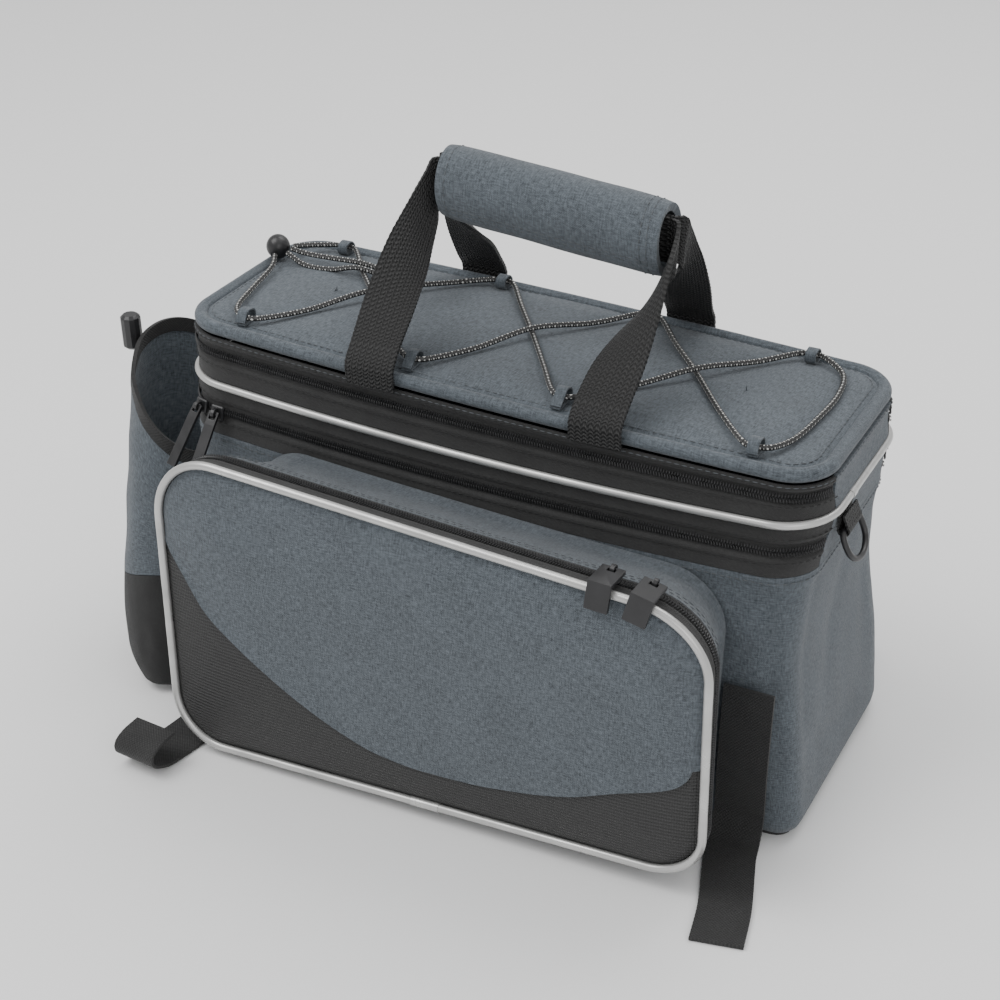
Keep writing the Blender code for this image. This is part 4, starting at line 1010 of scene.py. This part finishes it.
def lid_edge(t, inset):
    length, depth, front, _ = wall_sizes(LID_HEIGHT)
    radius = max(front - inset, 0.0008)
    x, y = outline_point(t, -length + inset, length - inset, -depth + inset, depth - inset, (radius,) * 4)
    bow = SIDE_BOW * (1 - (x / length) ** 2)
    y += bow if y > 0 else -bow
    return Vector((x, y, lid_surface(x, y) - 0.0001))


def set_flat_uv(piece, first=0, second=1):
    """UV map in metres straight from two of the axes, for flat cloth."""
    layer = piece.data.uv_layers.active.data
    for loop in piece.data.loops:
        point = piece.data.vertices[loop.vertex_index].co
        layer[loop.index].uv = (point[first], point[second])


def build_front_pocket():
    def side(u, v):
        share = POCKET_BAND_START * v
        point = pocket_point(u, share)
        out = (pocket_point(u, share, 0.002) - pocket_point(u, share)).normalized()
        fade = ease(v, 0.02, 0.2) * (1 - ease(v, 0.9, 1.0))
        depth = fold_depth(point, POCKET_FOLDS) + ripple(point, 0.020, 0.0012) + ripple(point, 0.008, 0.0004)
        return point + out * depth * fade

    gusset = grid("pocket_side_cloth", 340, 30, side, (0.96, 0.045), 0.00001, away=(0, -0.12, 0.09))
    dress(thicken(gusset, POCKET_WALL), "heather", ["pocket_gusset"])
    seam = POCKET_PIPING_RADIUS + GAP

    def band(u, v):
        share = POCKET_BAND_START + (1 - POCKET_BAND_START) * v
        point = pocket_point(u, share)
        out = (pocket_point(u, share, 0.002) - pocket_point(u, share)).normalized()
        zip_at = (POCKET_ZIP_SHARE - POCKET_BAND_START) / (1 - POCKET_BAND_START)
        away = abs(v - zip_at)
        push = -0.0007 * (1 - ease(away, 0.19, 0.25)) + 0.0005 * math.exp(-((away - 0.31) / 0.06) ** 2)
        point.y += seam * v - 0.0008 * (1 - v)
        return point + out * push

    dark = grid("pocket_band_cloth", 340, 26, band, (0.98, 0.014), 0.00001, away=(0, -0.14, 0.09))
    dress(thicken(dark, POCKET_WALL), "canvas", ["pocket_zip_band"])
    line = [pocket_point(-0.19 + 0.66 * k / 700, POCKET_ZIP_SHARE, -0.0002) for k in range(701)]
    build_coil("pocket_coil", line, ["pocket_zip_coil"], (0, 1, 0), out=outward_flat)
    ring = [pocket_point(t / 500, 1.0) for t in range(500)]
    piping = tube("pocket_piping_tube", ring, POCKET_PIPING_RADIUS, up=(0, 1, 0), closed=True,
                  swell=lambda v, a: 1 + 0.05 * noise.noise(Vector((v * 60, 0.0, 5.0))))
    dress(piping, "silver", ["pocket_piping"])
    sleeve = [pocket_point(SLEEVE_START + k * 0.0022, 1.0) for k in range(9)]
    dress(tube("pocket_piping_sleeve", sleeve, POCKET_PIPING_RADIUS + 0.0003, up=(0, 1, 0)), "silver", [])
    rows = []
    for share in (0.60, 0.675):
        rows.append(([pocket_point(t / 400, share, 0.0001) for t in range(401)],
                     lambda p: Vector((p.x - 0.008, 0, p.z - POCKET_MIDDLE_Z)).normalized()))
    dress(stitches("pocket_side_stitches", rows), "thread_grey", [])
    build_pocket_face(seam)


def outward_flat(place, along):
    """Direction out of the pocket's side, square to the zip."""
    out = along.cross(Vector((0, 1, 0))).normalized()
    centre = Vector(((POCKET_LEFT + POCKET_RIGHT) / 2, place.y, POCKET_MIDDLE_Z))
    return out if out.dot(place - centre) > 0 else -out


def face_point(x, z, lift=0.0):
    """Point on the pocket's bulging face."""
    seam = POCKET_PIPING_RADIUS + GAP
    inside = edge_distance(x, z, seam)
    bulge = POCKET_BULGE * ease(math.sqrt(max(0.0, inside)) / math.sqrt(0.036) * 0.8)
    rolled = 0.0016 * (1 - ease(inside, 0.0, 0.004))
    wave = 0.0007 * noise.noise(Vector((x, 0.0, z)) / 0.050) * ease(inside, 0.0, 0.02)
    return Vector((x, pocket_face_y(x, z) - bulge + rolled * 0.5 - wave - lift, pocket_settle(x, z)))


def edge_distance(x, z, inset):
    """Distance from a point on the face to its outline."""
    left, right = POCKET_LEFT + inset, POCKET_RIGHT - inset
    low, high = POCKET_BOTTOM + inset, POCKET_TOP - inset
    corner = (POCKET_CORNER if z > (low + high) / 2 else POCKET_FOOT_CORNER) - inset
    dx, dz = min(x - left, right - x), min(z - low, high - z)
    if dx < corner and dz < corner:
        return corner - math.hypot(corner - dx, corner - dz)
    return min(dx, dz)


def face_reach(x, inset):
    """Lowest and highest point of the face at an x."""
    dx = max(0.0, min(x - POCKET_LEFT - inset, POCKET_RIGHT - inset - x))
    found = []
    for corner, base, sign in ((POCKET_FOOT_CORNER - inset, POCKET_BOTTOM + inset, 1),
                               (POCKET_CORNER - inset, POCKET_TOP - inset, -1)):
        cut = corner - math.sqrt(max(0.0, corner ** 2 - max(0.0, corner - dx) ** 2))
        found.append(base + sign * cut)
    return found


def seam_height(x):
    share = (x - POCKET_LEFT) / (POCKET_RIGHT - POCKET_LEFT)
    return row_at(FACE_SEAM, share)[0] * POCKET_TOP


def build_pocket_face(seam):
    def across(u):
        width = POCKET_RIGHT - POCKET_LEFT - 2 * seam
        return POCKET_LEFT + seam + width * (1 - math.cos(math.pi * u)) / 2

    def lower(u, v):
        x = across(u)
        low, high = face_reach(x, seam)
        z = low + (min(seam_height(x), high) - low) * v
        return face_point(x, z, -0.0004 * ease(v, 0.9, 1.0))

    def upper(u, v):
        x = across(u)
        low, high = face_reach(x, seam)
        start = min(high, max(seam_height(x), low)) + 2 * GAP
        z = start + (high - start) * v
        near_seam = z - start
        return face_point(x, z, 0.0008 * math.exp(-near_seam / 0.0035))

    black = grid("pocket_lower_panel", 200, 70, lower, away=(0, 0.2, 0.09))
    set_flat_uv(black, 0, 2)
    dress(thicken(black, POCKET_WALL), "ribbed", ["pocket_face_lower"])
    grey = grid("pocket_upper_panel", 200, 110, upper, away=(0, 0.2, 0.09))
    set_flat_uv(grey, 0, 2)
    dress(thicken(grey, POCKET_WALL), "heather", ["pocket_face_upper"])


def bottle_centre(height):
    return [value * BAG_LENGTH / 2 for value in row_at(BOTTLE_ROWS, height / LID_HEIGHT)]


def bottle_point(angle, height):
    x, y, half_x, half_y = bottle_centre(height)
    return Vector((x + half_x * math.cos(angle), y + half_y * math.sin(angle), height))


def inside_wall(point):
    """True where a point is inside the bag's side."""
    length, depth, front, back = wall_sizes(point.z)
    corner = (front if point.y < 0 else back) + SEAT
    dx, dy = point.x + length + SEAT, min(point.y + depth + SEAT, depth + SEAT - point.y)
    if dx < corner and dy < corner:
        return corner - math.hypot(corner - dx, corner - dy) > 0
    return min(dx, dy) > 0


@lru_cache(maxsize=200000)
def bottle_reach(height):
    """Angles where the pocket meets the bag's side, from the front round to the back."""
    found = []
    for sign in (1, -1):
        near, far = 0.0, math.pi * 0.95
        for _ in range(14):
            middle = (near + far) / 2
            if inside_wall(bottle_point(math.pi + sign * middle, height)):
                far = middle
            else:
                near = middle
        found.append(math.pi + sign * near)
    return found


def bottle_rim(angle):
    """Height of the slanted rim at an angle."""
    height = 0.14
    for _ in range(12):
        x, y, _ = bottle_point(angle, height)
        height = BOTTLE_RIM_HEIGHT + BOTTLE_RIM_SLOPE_X * (x - BOTTLE_RIM_FRONT[0])
        height += BOTTLE_RIM_SLOPE_Y * (y - BOTTLE_RIM_FRONT[1])
    return height


def bottle_cloth(low, high, lift=0.0):
    """A place function for the pocket's cloth between two heights."""
    def place(u, v):
        far, near = bottle_reach(0.10)
        angle = far + (near - far) * u
        for _ in range(2):
            height = low(angle) + (high(angle) - low(angle)) * v
            far, near = bottle_reach(height)
            angle = far + (near - far) * u
        height = low(angle) + (high(angle) - low(angle)) * v
        point = bottle_point(angle, height)
        out = Vector((math.cos(angle), math.sin(angle), 0.0))
        fade = ease(min(u, 1 - u), 0.0, 0.12)
        depth = fold_depth(point, BOTTLE_FOLDS) + ripple(point, 0.022, 0.0018)
        return point + out * (depth * fade + lift)
    return place


def build_bottle_pocket():
    def seam_line(angle):
        return BOTTLE_SEAM_HEIGHT + BOTTLE_SEAM_RISE * ease(angle, math.pi, math.pi * 1.6)

    foot = BOTTLE_ROWS[0][0] * LID_HEIGHT
    centre = (-0.205, -0.05, 0.09)
    lower = grid("bottle_foot_cloth", 90, 44,
                 bottle_cloth(lambda a: foot, lambda a: seam_line(a) - GAP), (0.19, 0.055), away=centre)
    dress(thicken(lower, BOTTLE_WALL), "soft_black", ["bottle_pocket_lower"])
    upper = grid("bottle_wall_cloth", 90, 60,
                 bottle_cloth(seam_line, lambda a: bottle_rim(a) - BINDING_WIDTH), (0.19, 0.10), away=centre)
    dress(thicken(upper, BOTTLE_WALL), "heather", ["bottle_pocket_upper"])
    binding = grid("bottle_rim_binding", 90, 12,
                   bottle_cloth(lambda a: bottle_rim(a) - BINDING_WIDTH, bottle_rim, 0.0004),
                   (0.19, 0.008), away=centre)
    dress(thicken(binding, BOTTLE_WALL + 0.0008), "tape", ["bottle_pocket_binding"])


def leg(foot_x, side, turn_x, sign):
    _, half_depth, _, _ = wall_sizes(LID_HEIGHT)
    bow = SIDE_BOW * (1 - (foot_x / (BAG_LENGTH / 2)) ** 2)
    foot_y = side * (half_depth + bow + GAP + 0.0007 + WEBBING_THICKNESS / 2)
    foot_z = settle(foot_x, LID_HEIGHT)
    top = grip_point(turn_x)
    inside_y = side * 0.0019
    centres, halves = [], []
    for share_x, share_y, share_z, turned in LEG_ROWS:
        angle = math.radians(turned)
        centres.append(Vector((foot_x + (turn_x - foot_x) * share_x, foot_y + (inside_y - foot_y) * share_y,
                               foot_z + (top.z - foot_z) * share_z)))
        halves.append(Vector((math.cos(angle), 0.0, sign * math.sin(angle))) * WEBBING_WIDTH / 2)
    return centres, halves


def build_handle():
    half_grip = GRIP_LENGTH / 2
    left_end, right_end = GRIP_CENTRE_X - half_grip, GRIP_CENTRE_X + half_grip
    for side_name, side, feet in (("front", -1.0, FRONT_FEET_X), ("back", 1.0, BACK_FEET_X)):
        centres, halves = leg(feet[0], side, left_end - LEG_OUTREACH, -1.0)
        right_centres, right_halves = leg(feet[1], side, right_end + LEG_OUTREACH, 1.0)
        inner = [left_end - 0.002, left_end + 0.006, GRIP_CENTRE_X, right_end - 0.006, right_end + 0.002]
        down = Vector((0.0, 0.0, -1.0)) * WEBBING_WIDTH / 2 * 0.84
        centres += [grip_point(x) + Vector((0.0, side * 0.0016, 0.0)) for x in inner]
        halves += [down] * len(inner)
        centres += list(reversed(right_centres))
        halves += [-half for half in reversed(right_halves)]
        strap = ribbon("handle_webbing_" + side_name, centres, halves, WEBBING_THICKNESS)
        dress(strap, "webbing", ["handle_strap_" + side_name])

    def wrap(u, v):
        x = left_end + GRIP_LENGTH * v
        centre = grip_point(x)
        angle = 2 * math.pi * u
        tight = 1 - 0.06 * (math.exp(-(v / 0.05)) + math.exp(-((1 - v) / 0.05)))
        past = math.degrees((angle - math.radians(FLAP_TURN)) % (2 * math.pi))
        flap = 0.035 * ease(past, 0.0, 8.0) * (1 - ease(past, 40.0, 150.0))
        soft = 0.020 * noise.noise(Vector((v * 4, math.cos(angle), math.sin(angle))))
        swell = tight + flap + soft
        return Vector((x, centre.y + swell * GRIP_DEPTH / 2 * math.cos(angle),
                       centre.z + swell * GRIP_THICKNESS / 2 * math.sin(angle)))

    grip = grid("grip_wrap", 96, 90, wrap, (0.118, GRIP_LENGTH), 0.00001,
                away=(GRIP_CENTRE_X, 0, GRIP_HEIGHT))
    thicken(grip, GRIP_WALL)
    dress(grip, "heather", ["handle_grip"])
    lines = []
    for turned in (206, 214):
        lines.append(([wrap(turned / 360, 0.03 + 0.94 * k / 80) for k in range(81)], grip_out))
    for v in (0.925, 0.955, 0.045):
        lines.append(([wrap(k / 80, v) for k in range(81)], grip_out))
    dress(stitches("grip_stitches", lines, radius=0.0003), "thread_grey", [])


def grip_out(point):
    return (point - grip_point(point.x)).normalized()


def build_cord():
    route = smooth_path([cord_point(row) for row in CORD_ROUTE], 0.0018)
    dress(tube("bungee_elastic", route, CORD_RADIUS), "cord", ["bungee_cord"])
    for number, rows in enumerate(TAIL_ROUTES, 1):
        tail = smooth_path([cord_point(row) for row in rows], 0.0018)
        dress(tube("bungee_end_%d" % number, tail, CORD_RADIUS), "cord", ["bungee_tail_%d" % number])


def build_loops():
    sets = (("front", FRONT_LOOPS, FRONT_LOOP_CORD_Y, -1.0),
            ("back", BACK_LOOPS, BACK_LOOP_CORD_Y, 1.0))
    lines = []
    for side, places, cords, sign in sets:
        for number, (x, cord_y) in enumerate(zip(places, cords), 1):
            centre_z = cord_point((x, cord_y, LOOP_LIFT)).z
            middle = CORD_RADIUS + LOOP_CLEARANCE + LOOP_WALL / 2
            inner_y = cord_y - sign * LOOP_SLACK
            length, depth, _, _ = wall_sizes(LID_HEIGHT)
            bow = SIDE_BOW * (1 - (x / length) ** 2)
            end_y = sign * (depth + bow - 2 * HEM_RADIUS - 2 * GAP)
            low = lid_surface(x, end_y) + SEAT + LOOP_WALL / 2
            path = [(end_y, low + LOOP_WALL), (cord_y + sign * middle, centre_z + 0.0004)]
            path += [(cord_y + sign * 0.0004, centre_z + middle), (inner_y, centre_z + middle)]
            path += [(inner_y - sign * middle * math.sin(a), centre_z + middle * math.cos(a))
                     for a in (0.8, 1.6, 2.4)]
            path += [(inner_y, centre_z - middle), (cord_y, centre_z - middle), (end_y, low - LOOP_WALL * 0.1)]
            centres = [Vector((x, y, z)) for y, z in path]
            halves = [Vector((LOOP_WIDTH / 2, 0, 0))] * len(centres)
            loop = ribbon("cord_keeper_%s_%d" % (side, number), centres, halves, LOOP_WALL * 0.8, 0.0008,
                          0.0, 6)
            dress(loop, "heather", ["cord_loop_%s_%d" % (side, number)])
            tack = [Vector((x - 0.0025, end_y - sign * 0.0022, low + LOOP_WALL * 1.7)),
                    Vector((x + 0.0025, end_y - sign * 0.0022, low + LOOP_WALL * 1.7))]
            lines.append((tack, (0, 0, 1)))
    dress(stitches("keeper_stitches", lines, 0.0012, 0.0013), "thread_black", [])


def build_ring_tab():
    low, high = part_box("ring_tab")
    middle_x = high.x - (high.x - low.x) / 2
    reach = (high.x - low.x) / 2 - 0.0005
    hinge_z = low.z + reach + 0.0005
    path = [(low.x + 0.0006, high.z), (low.x + 0.0006, hinge_z + 0.004)]
    path += [(middle_x + reach * math.cos(a), hinge_z + reach * math.sin(a))
             for a in [math.radians(t) for t in (180, 225, 270, 315, 360, 405)]]
    path += [(low.x + 0.0030, high.z - 0.0006)]
    centres = [Vector((x, RING_TAB_Y, z)) for x, z in path]
    halves = [Vector((0, RING_TAB_WIDTH / 2, 0))] * len(centres)
    tab = ribbon("ring_webbing", centres, halves, 0.0010, 0.0010)
    dress(tab, "webbing", ["ring_tab"])


def build_rack_straps():
    half = RACK_STRAP_THICKNESS / 2
    floor_z = half + GAP
    clear = 2 * SEAT + half
    top = RACK_STRAP_TOP
    back = ((0.0380, 0.1010), (0.0240, 0.1050), (0.0090, 0.1010), (0.0040, 0.0945))
    sets = (
        ("front_right", 0.1650, -1.0, (
            (0.1655, -0.0985, 0.0032), (0.1675, -0.1090, floor_z), (0.1735, -0.1280, floor_z),
            (0.1800, -0.1490, floor_z), (0.1853, -0.1735, floor_z))),
        ("front_left", -0.1490, -1.0, (
            (-0.1505, -0.0985, 0.0032), (-0.1500, -0.1090, floor_z), (-0.1500, -0.1330, floor_z),
            (-0.1535, -0.1580, floor_z), (-0.1565, -0.1765, 0.0028), (-0.1575, -0.1865, 0.0085),
            (-0.1575, -0.1870, 0.0150), (-0.1570, -0.1800, 0.0185), (-0.1560, -0.1680, 0.0195))),
        ("back_right", 0.1500, 1.0, [(0.1527, y, z) for z, y in back]),
        ("back_left", -0.1500, 1.0, [(-0.1527, y, z) for z, y in back]),
    )
    lines = []
    for name, x, side, rest in sets:
        heights = (top, top * 0.66, top * 0.40, top * 0.16) if side < 0 else (top, top * 0.72, top * 0.56)
        knots = [Vector((x, side * (-front_wall_y(abs(x) - RACK_STRAP_WIDTH / 2, height) + clear), height))
                 for height in heights]
        knots += [Vector(point) for point in rest]
        centres = smooth_path(knots, 0.010)
        halves = []
        for before, after in zip([centres[0]] + centres[:-1], centres[1:] + [centres[-1]]):
            run = after - before
            across = Vector((run.y, -run.x, 0.0)) if side < 0 else Vector((-run.y, run.x, 0.0))
            steep = abs(run.z) > 2.2 * math.hypot(run.x, run.y)
            direction = Vector((-1.0, 0.0, 0.0)) if steep else across.normalized()
            halves.append((-direction if direction.x > 0 else direction) * RACK_STRAP_WIDTH / 2)
        strap = ribbon("rack_webbing_" + name, centres, halves, RACK_STRAP_THICKNESS, serration=0.004)
        dress(strap, "hook", ["rack_strap_" + name])
        for drop in (0.0030, 0.0042, 0.0054):
            y = knots[0].y + side * (half + 0.0001)
            lines.append(([Vector((x - 0.012, y, top - drop)), Vector((x + 0.012, y, top - drop))],
                          (0, side, 0)))
    dress(stitches("strap_tacks", lines, 0.0016, 0.0018), "thread_black", [])


def polish_hardware():
    """Rounds the edges of the zips' metalwork, the locks and the ring, and gives each its finish."""
    bevelled = [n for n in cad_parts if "slider" in n or "_pull_" in n or n == "bottle_pocket_toggle"]
    for name in bevelled + ["d_ring", "cord_lock", "base_panel"]:
        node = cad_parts[name]
        finish = "rubber" if "pocket_pull" in name else "board" if name == "base_panel" else "plastic"
        node.data.materials.clear()
        node.data.materials.append(FINISHES[finish])
        weld = node.modifiers.new("weld", 'WELD')
        weld.merge_threshold = 0.00002
        if name in ("d_ring", "cord_lock"):
            smooth = node.modifiers.new("smooth", 'SUBSURF')
            smooth.levels = smooth.render_levels = 2
        elif name != "base_panel":
            edge = node.modifiers.new("edge", 'BEVEL')
            edge.width = 0.00035
            edge.segments = 2
            edge.limit_method = 'ANGLE'


def build_stage():
    bpy.ops.object.select_all(action='DESELECT')
    bpy.ops.mesh.primitive_grid_add(x_subdivisions=8, y_subdivisions=8, size=FLOOR_SIZE,
                                    location=(0, 0, -FLOOR_DROP))
    floor = bpy.context.active_object
    floor.name = "studio_floor"
    floor.data.materials.append(FINISHES["floor"])
    world = bpy.data.worlds.new("studio")
    bpy.context.scene.world = world
    world.use_nodes = True
    world.node_tree.nodes["Background"].inputs["Color"].default_value = (1.0, 1.0, 1.0, 1.0)
    world.node_tree.nodes["Background"].inputs["Strength"].default_value = WORLD_STRENGTH
    for name, place, size, power in LIGHTS:
        light = bpy.data.lights.new(name, 'AREA')
        light.energy = power
        light.size = size
        lamp = bpy.data.objects.new(name, light)
        bpy.context.scene.collection.objects.link(lamp)
        lamp.location = place
        lamp.rotation_euler = (Vector(LIGHT_AIM) - Vector(place)).to_track_quat('-Z', 'Y').to_euler()
    camera = bpy.data.cameras.new("camera")
    camera.lens = CAMERA_LENS
    camera.sensor_width = SENSOR
    viewer = bpy.data.objects.new("camera", camera)
    bpy.context.scene.collection.objects.link(viewer)
    matrix = Matrix((CAMERA_RIGHT, CAMERA_UP, CAMERA_BACK)).transposed().to_4x4()
    matrix.translation = CAMERA_PLACE
    viewer.matrix_world = matrix
    bpy.context.scene.camera = viewer


# Add-on

class BagSizes(bpy.types.PropertyGroup):
    """Sizes of the soft pieces."""
    lid_puff: FloatProperty(name="Lid puff", description="How far the lid's padding stands up",
                            default=0.0016, min=0.0, max=0.004, unit='LENGTH')


class BagColours(bpy.types.PropertyGroup):
    """Colours of the bag and its floor."""
    grey_dark: FloatVectorProperty(name="Dark yarn", description="Darker yarns of the grey cloth",
                                   default=(0.026, 0.033, 0.040), subtype='COLOR', size=3)
    grey_pale: FloatVectorProperty(name="Pale yarn", description="Paler yarns of the grey cloth",
                                   default=(0.118, 0.138, 0.158), subtype='COLOR', size=3)
    black: FloatVectorProperty(name="Black", description="Dark cloth and webbing",
                               default=(0.016, 0.016, 0.016), subtype='COLOR', size=3)
    silver: FloatVectorProperty(name="Silver", description="Reflective piping",
                                default=(0.56, 0.56, 0.55), subtype='COLOR', size=3)
    floor: FloatVectorProperty(name="Floor", description="Studio floor",
                               default=(0.86, 0.86, 0.86), subtype='COLOR', size=3)


class TRUNKBAG_OT_finishes(bpy.types.Operator):
    """Make the cloth, webbing, plastic and thread materials"""
    bl_idname = "trunkbag.finishes"
    bl_label = "Materials"

    def execute(self, context):
        make_finishes(context.scene.bag_colours)
        return {'FINISHED'}


class TRUNKBAG_OT_body(bpy.types.Operator):
    """Build the padded body"""
    bl_idname = "trunkbag.body"
    bl_label = "Body"

    def execute(self, context):
        build_body()
        return {'FINISHED'}


class TRUNKBAG_OT_bands(bpy.types.Operator):
    """Build the zip bands and the lid's piping"""
    bl_idname = "trunkbag.bands"
    bl_label = "Zip bands"

    def execute(self, context):
        build_bands()
        return {'FINISHED'}


class TRUNKBAG_OT_lid(bpy.types.Operator):
    """Build the padded lid and its rolled hem"""
    bl_idname = "trunkbag.lid"
    bl_label = "Lid"

    def execute(self, context):
        build_lid()
        return {'FINISHED'}


class TRUNKBAG_OT_front_pocket(bpy.types.Operator):
    """Build the front pocket with its zip and piping"""
    bl_idname = "trunkbag.front_pocket"
    bl_label = "Front pocket"

    def execute(self, context):
        build_front_pocket()
        return {'FINISHED'}


class TRUNKBAG_OT_bottle_pocket(bpy.types.Operator):
    """Build the bottle pocket at the left end"""
    bl_idname = "trunkbag.bottle_pocket"
    bl_label = "Bottle pocket"

    def execute(self, context):
        build_bottle_pocket()
        return {'FINISHED'}


class TRUNKBAG_OT_handle(bpy.types.Operator):
    """Build the handle's webbing and its wrapped grip"""
    bl_idname = "trunkbag.handle"
    bl_label = "Handle"

    def execute(self, context):
        build_handle()
        return {'FINISHED'}


class TRUNKBAG_OT_elastic(bpy.types.Operator):
    """Build the elastic over the lid and its sewn loops"""
    bl_idname = "trunkbag.elastic"
    bl_label = "Elastic"

    def execute(self, context):
        build_cord()
        build_loops()
        return {'FINISHED'}


class TRUNKBAG_OT_straps(bpy.types.Operator):
    """Build the rack straps and the ring's tab"""
    bl_idname = "trunkbag.straps"
    bl_label = "Straps"

    def execute(self, context):
        build_rack_straps()
        build_ring_tab()
        return {'FINISHED'}


class TRUNKBAG_OT_hardware(bpy.types.Operator):
    """Finish the zip sliders, pulls, locks, ring and base"""
    bl_idname = "trunkbag.hardware"
    bl_label = "Hardware"

    def execute(self, context):
        polish_hardware()
        return {'FINISHED'}


class TRUNKBAG_OT_stage(bpy.types.Operator):
    """Set the floor, lights and camera"""
    bl_idname = "trunkbag.stage"
    bl_label = "Stage"

    def execute(self, context):
        build_stage()
        return {'FINISHED'}


OPERATORS = (TRUNKBAG_OT_finishes, TRUNKBAG_OT_body, TRUNKBAG_OT_bands, TRUNKBAG_OT_lid,
             TRUNKBAG_OT_front_pocket, TRUNKBAG_OT_bottle_pocket, TRUNKBAG_OT_handle,
             TRUNKBAG_OT_elastic, TRUNKBAG_OT_straps, TRUNKBAG_OT_hardware, TRUNKBAG_OT_stage)


class TRUNKBAG_PT_panel(bpy.types.Panel):
    """Lists the bag's pieces"""
    bl_idname = "TRUNKBAG_PT_panel"
    bl_label = "Trunk Bag"
    bl_space_type = 'VIEW_3D'
    bl_region_type = 'UI'
    bl_category = "Trunk Bag"

    def draw(self, context):
        for group in (context.scene.bag_sizes, context.scene.bag_colours):
            for name in group.bl_rna.properties.keys():
                if name not in ("rna_type", "name"):
                    self.layout.prop(group, name)
        for operator in OPERATORS:
            self.layout.operator(operator.bl_idname)


CLASSES = (BagSizes, BagColours, *OPERATORS, TRUNKBAG_PT_panel)


def register():
    for item in CLASSES:
        bpy.utils.register_class(item)
    bpy.types.Scene.bag_sizes = PointerProperty(type=BagSizes)
    bpy.types.Scene.bag_colours = PointerProperty(type=BagColours)


def unregister():
    del bpy.types.Scene.bag_sizes
    del bpy.types.Scene.bag_colours
    for item in reversed(CLASSES):
        bpy.utils.unregister_class(item)


def main():
    register()
    for operator in OPERATORS:
        group, name = operator.bl_idname.split(".")
        getattr(getattr(bpy.ops, group), name)()


if __name__ == "__main__":
    main()
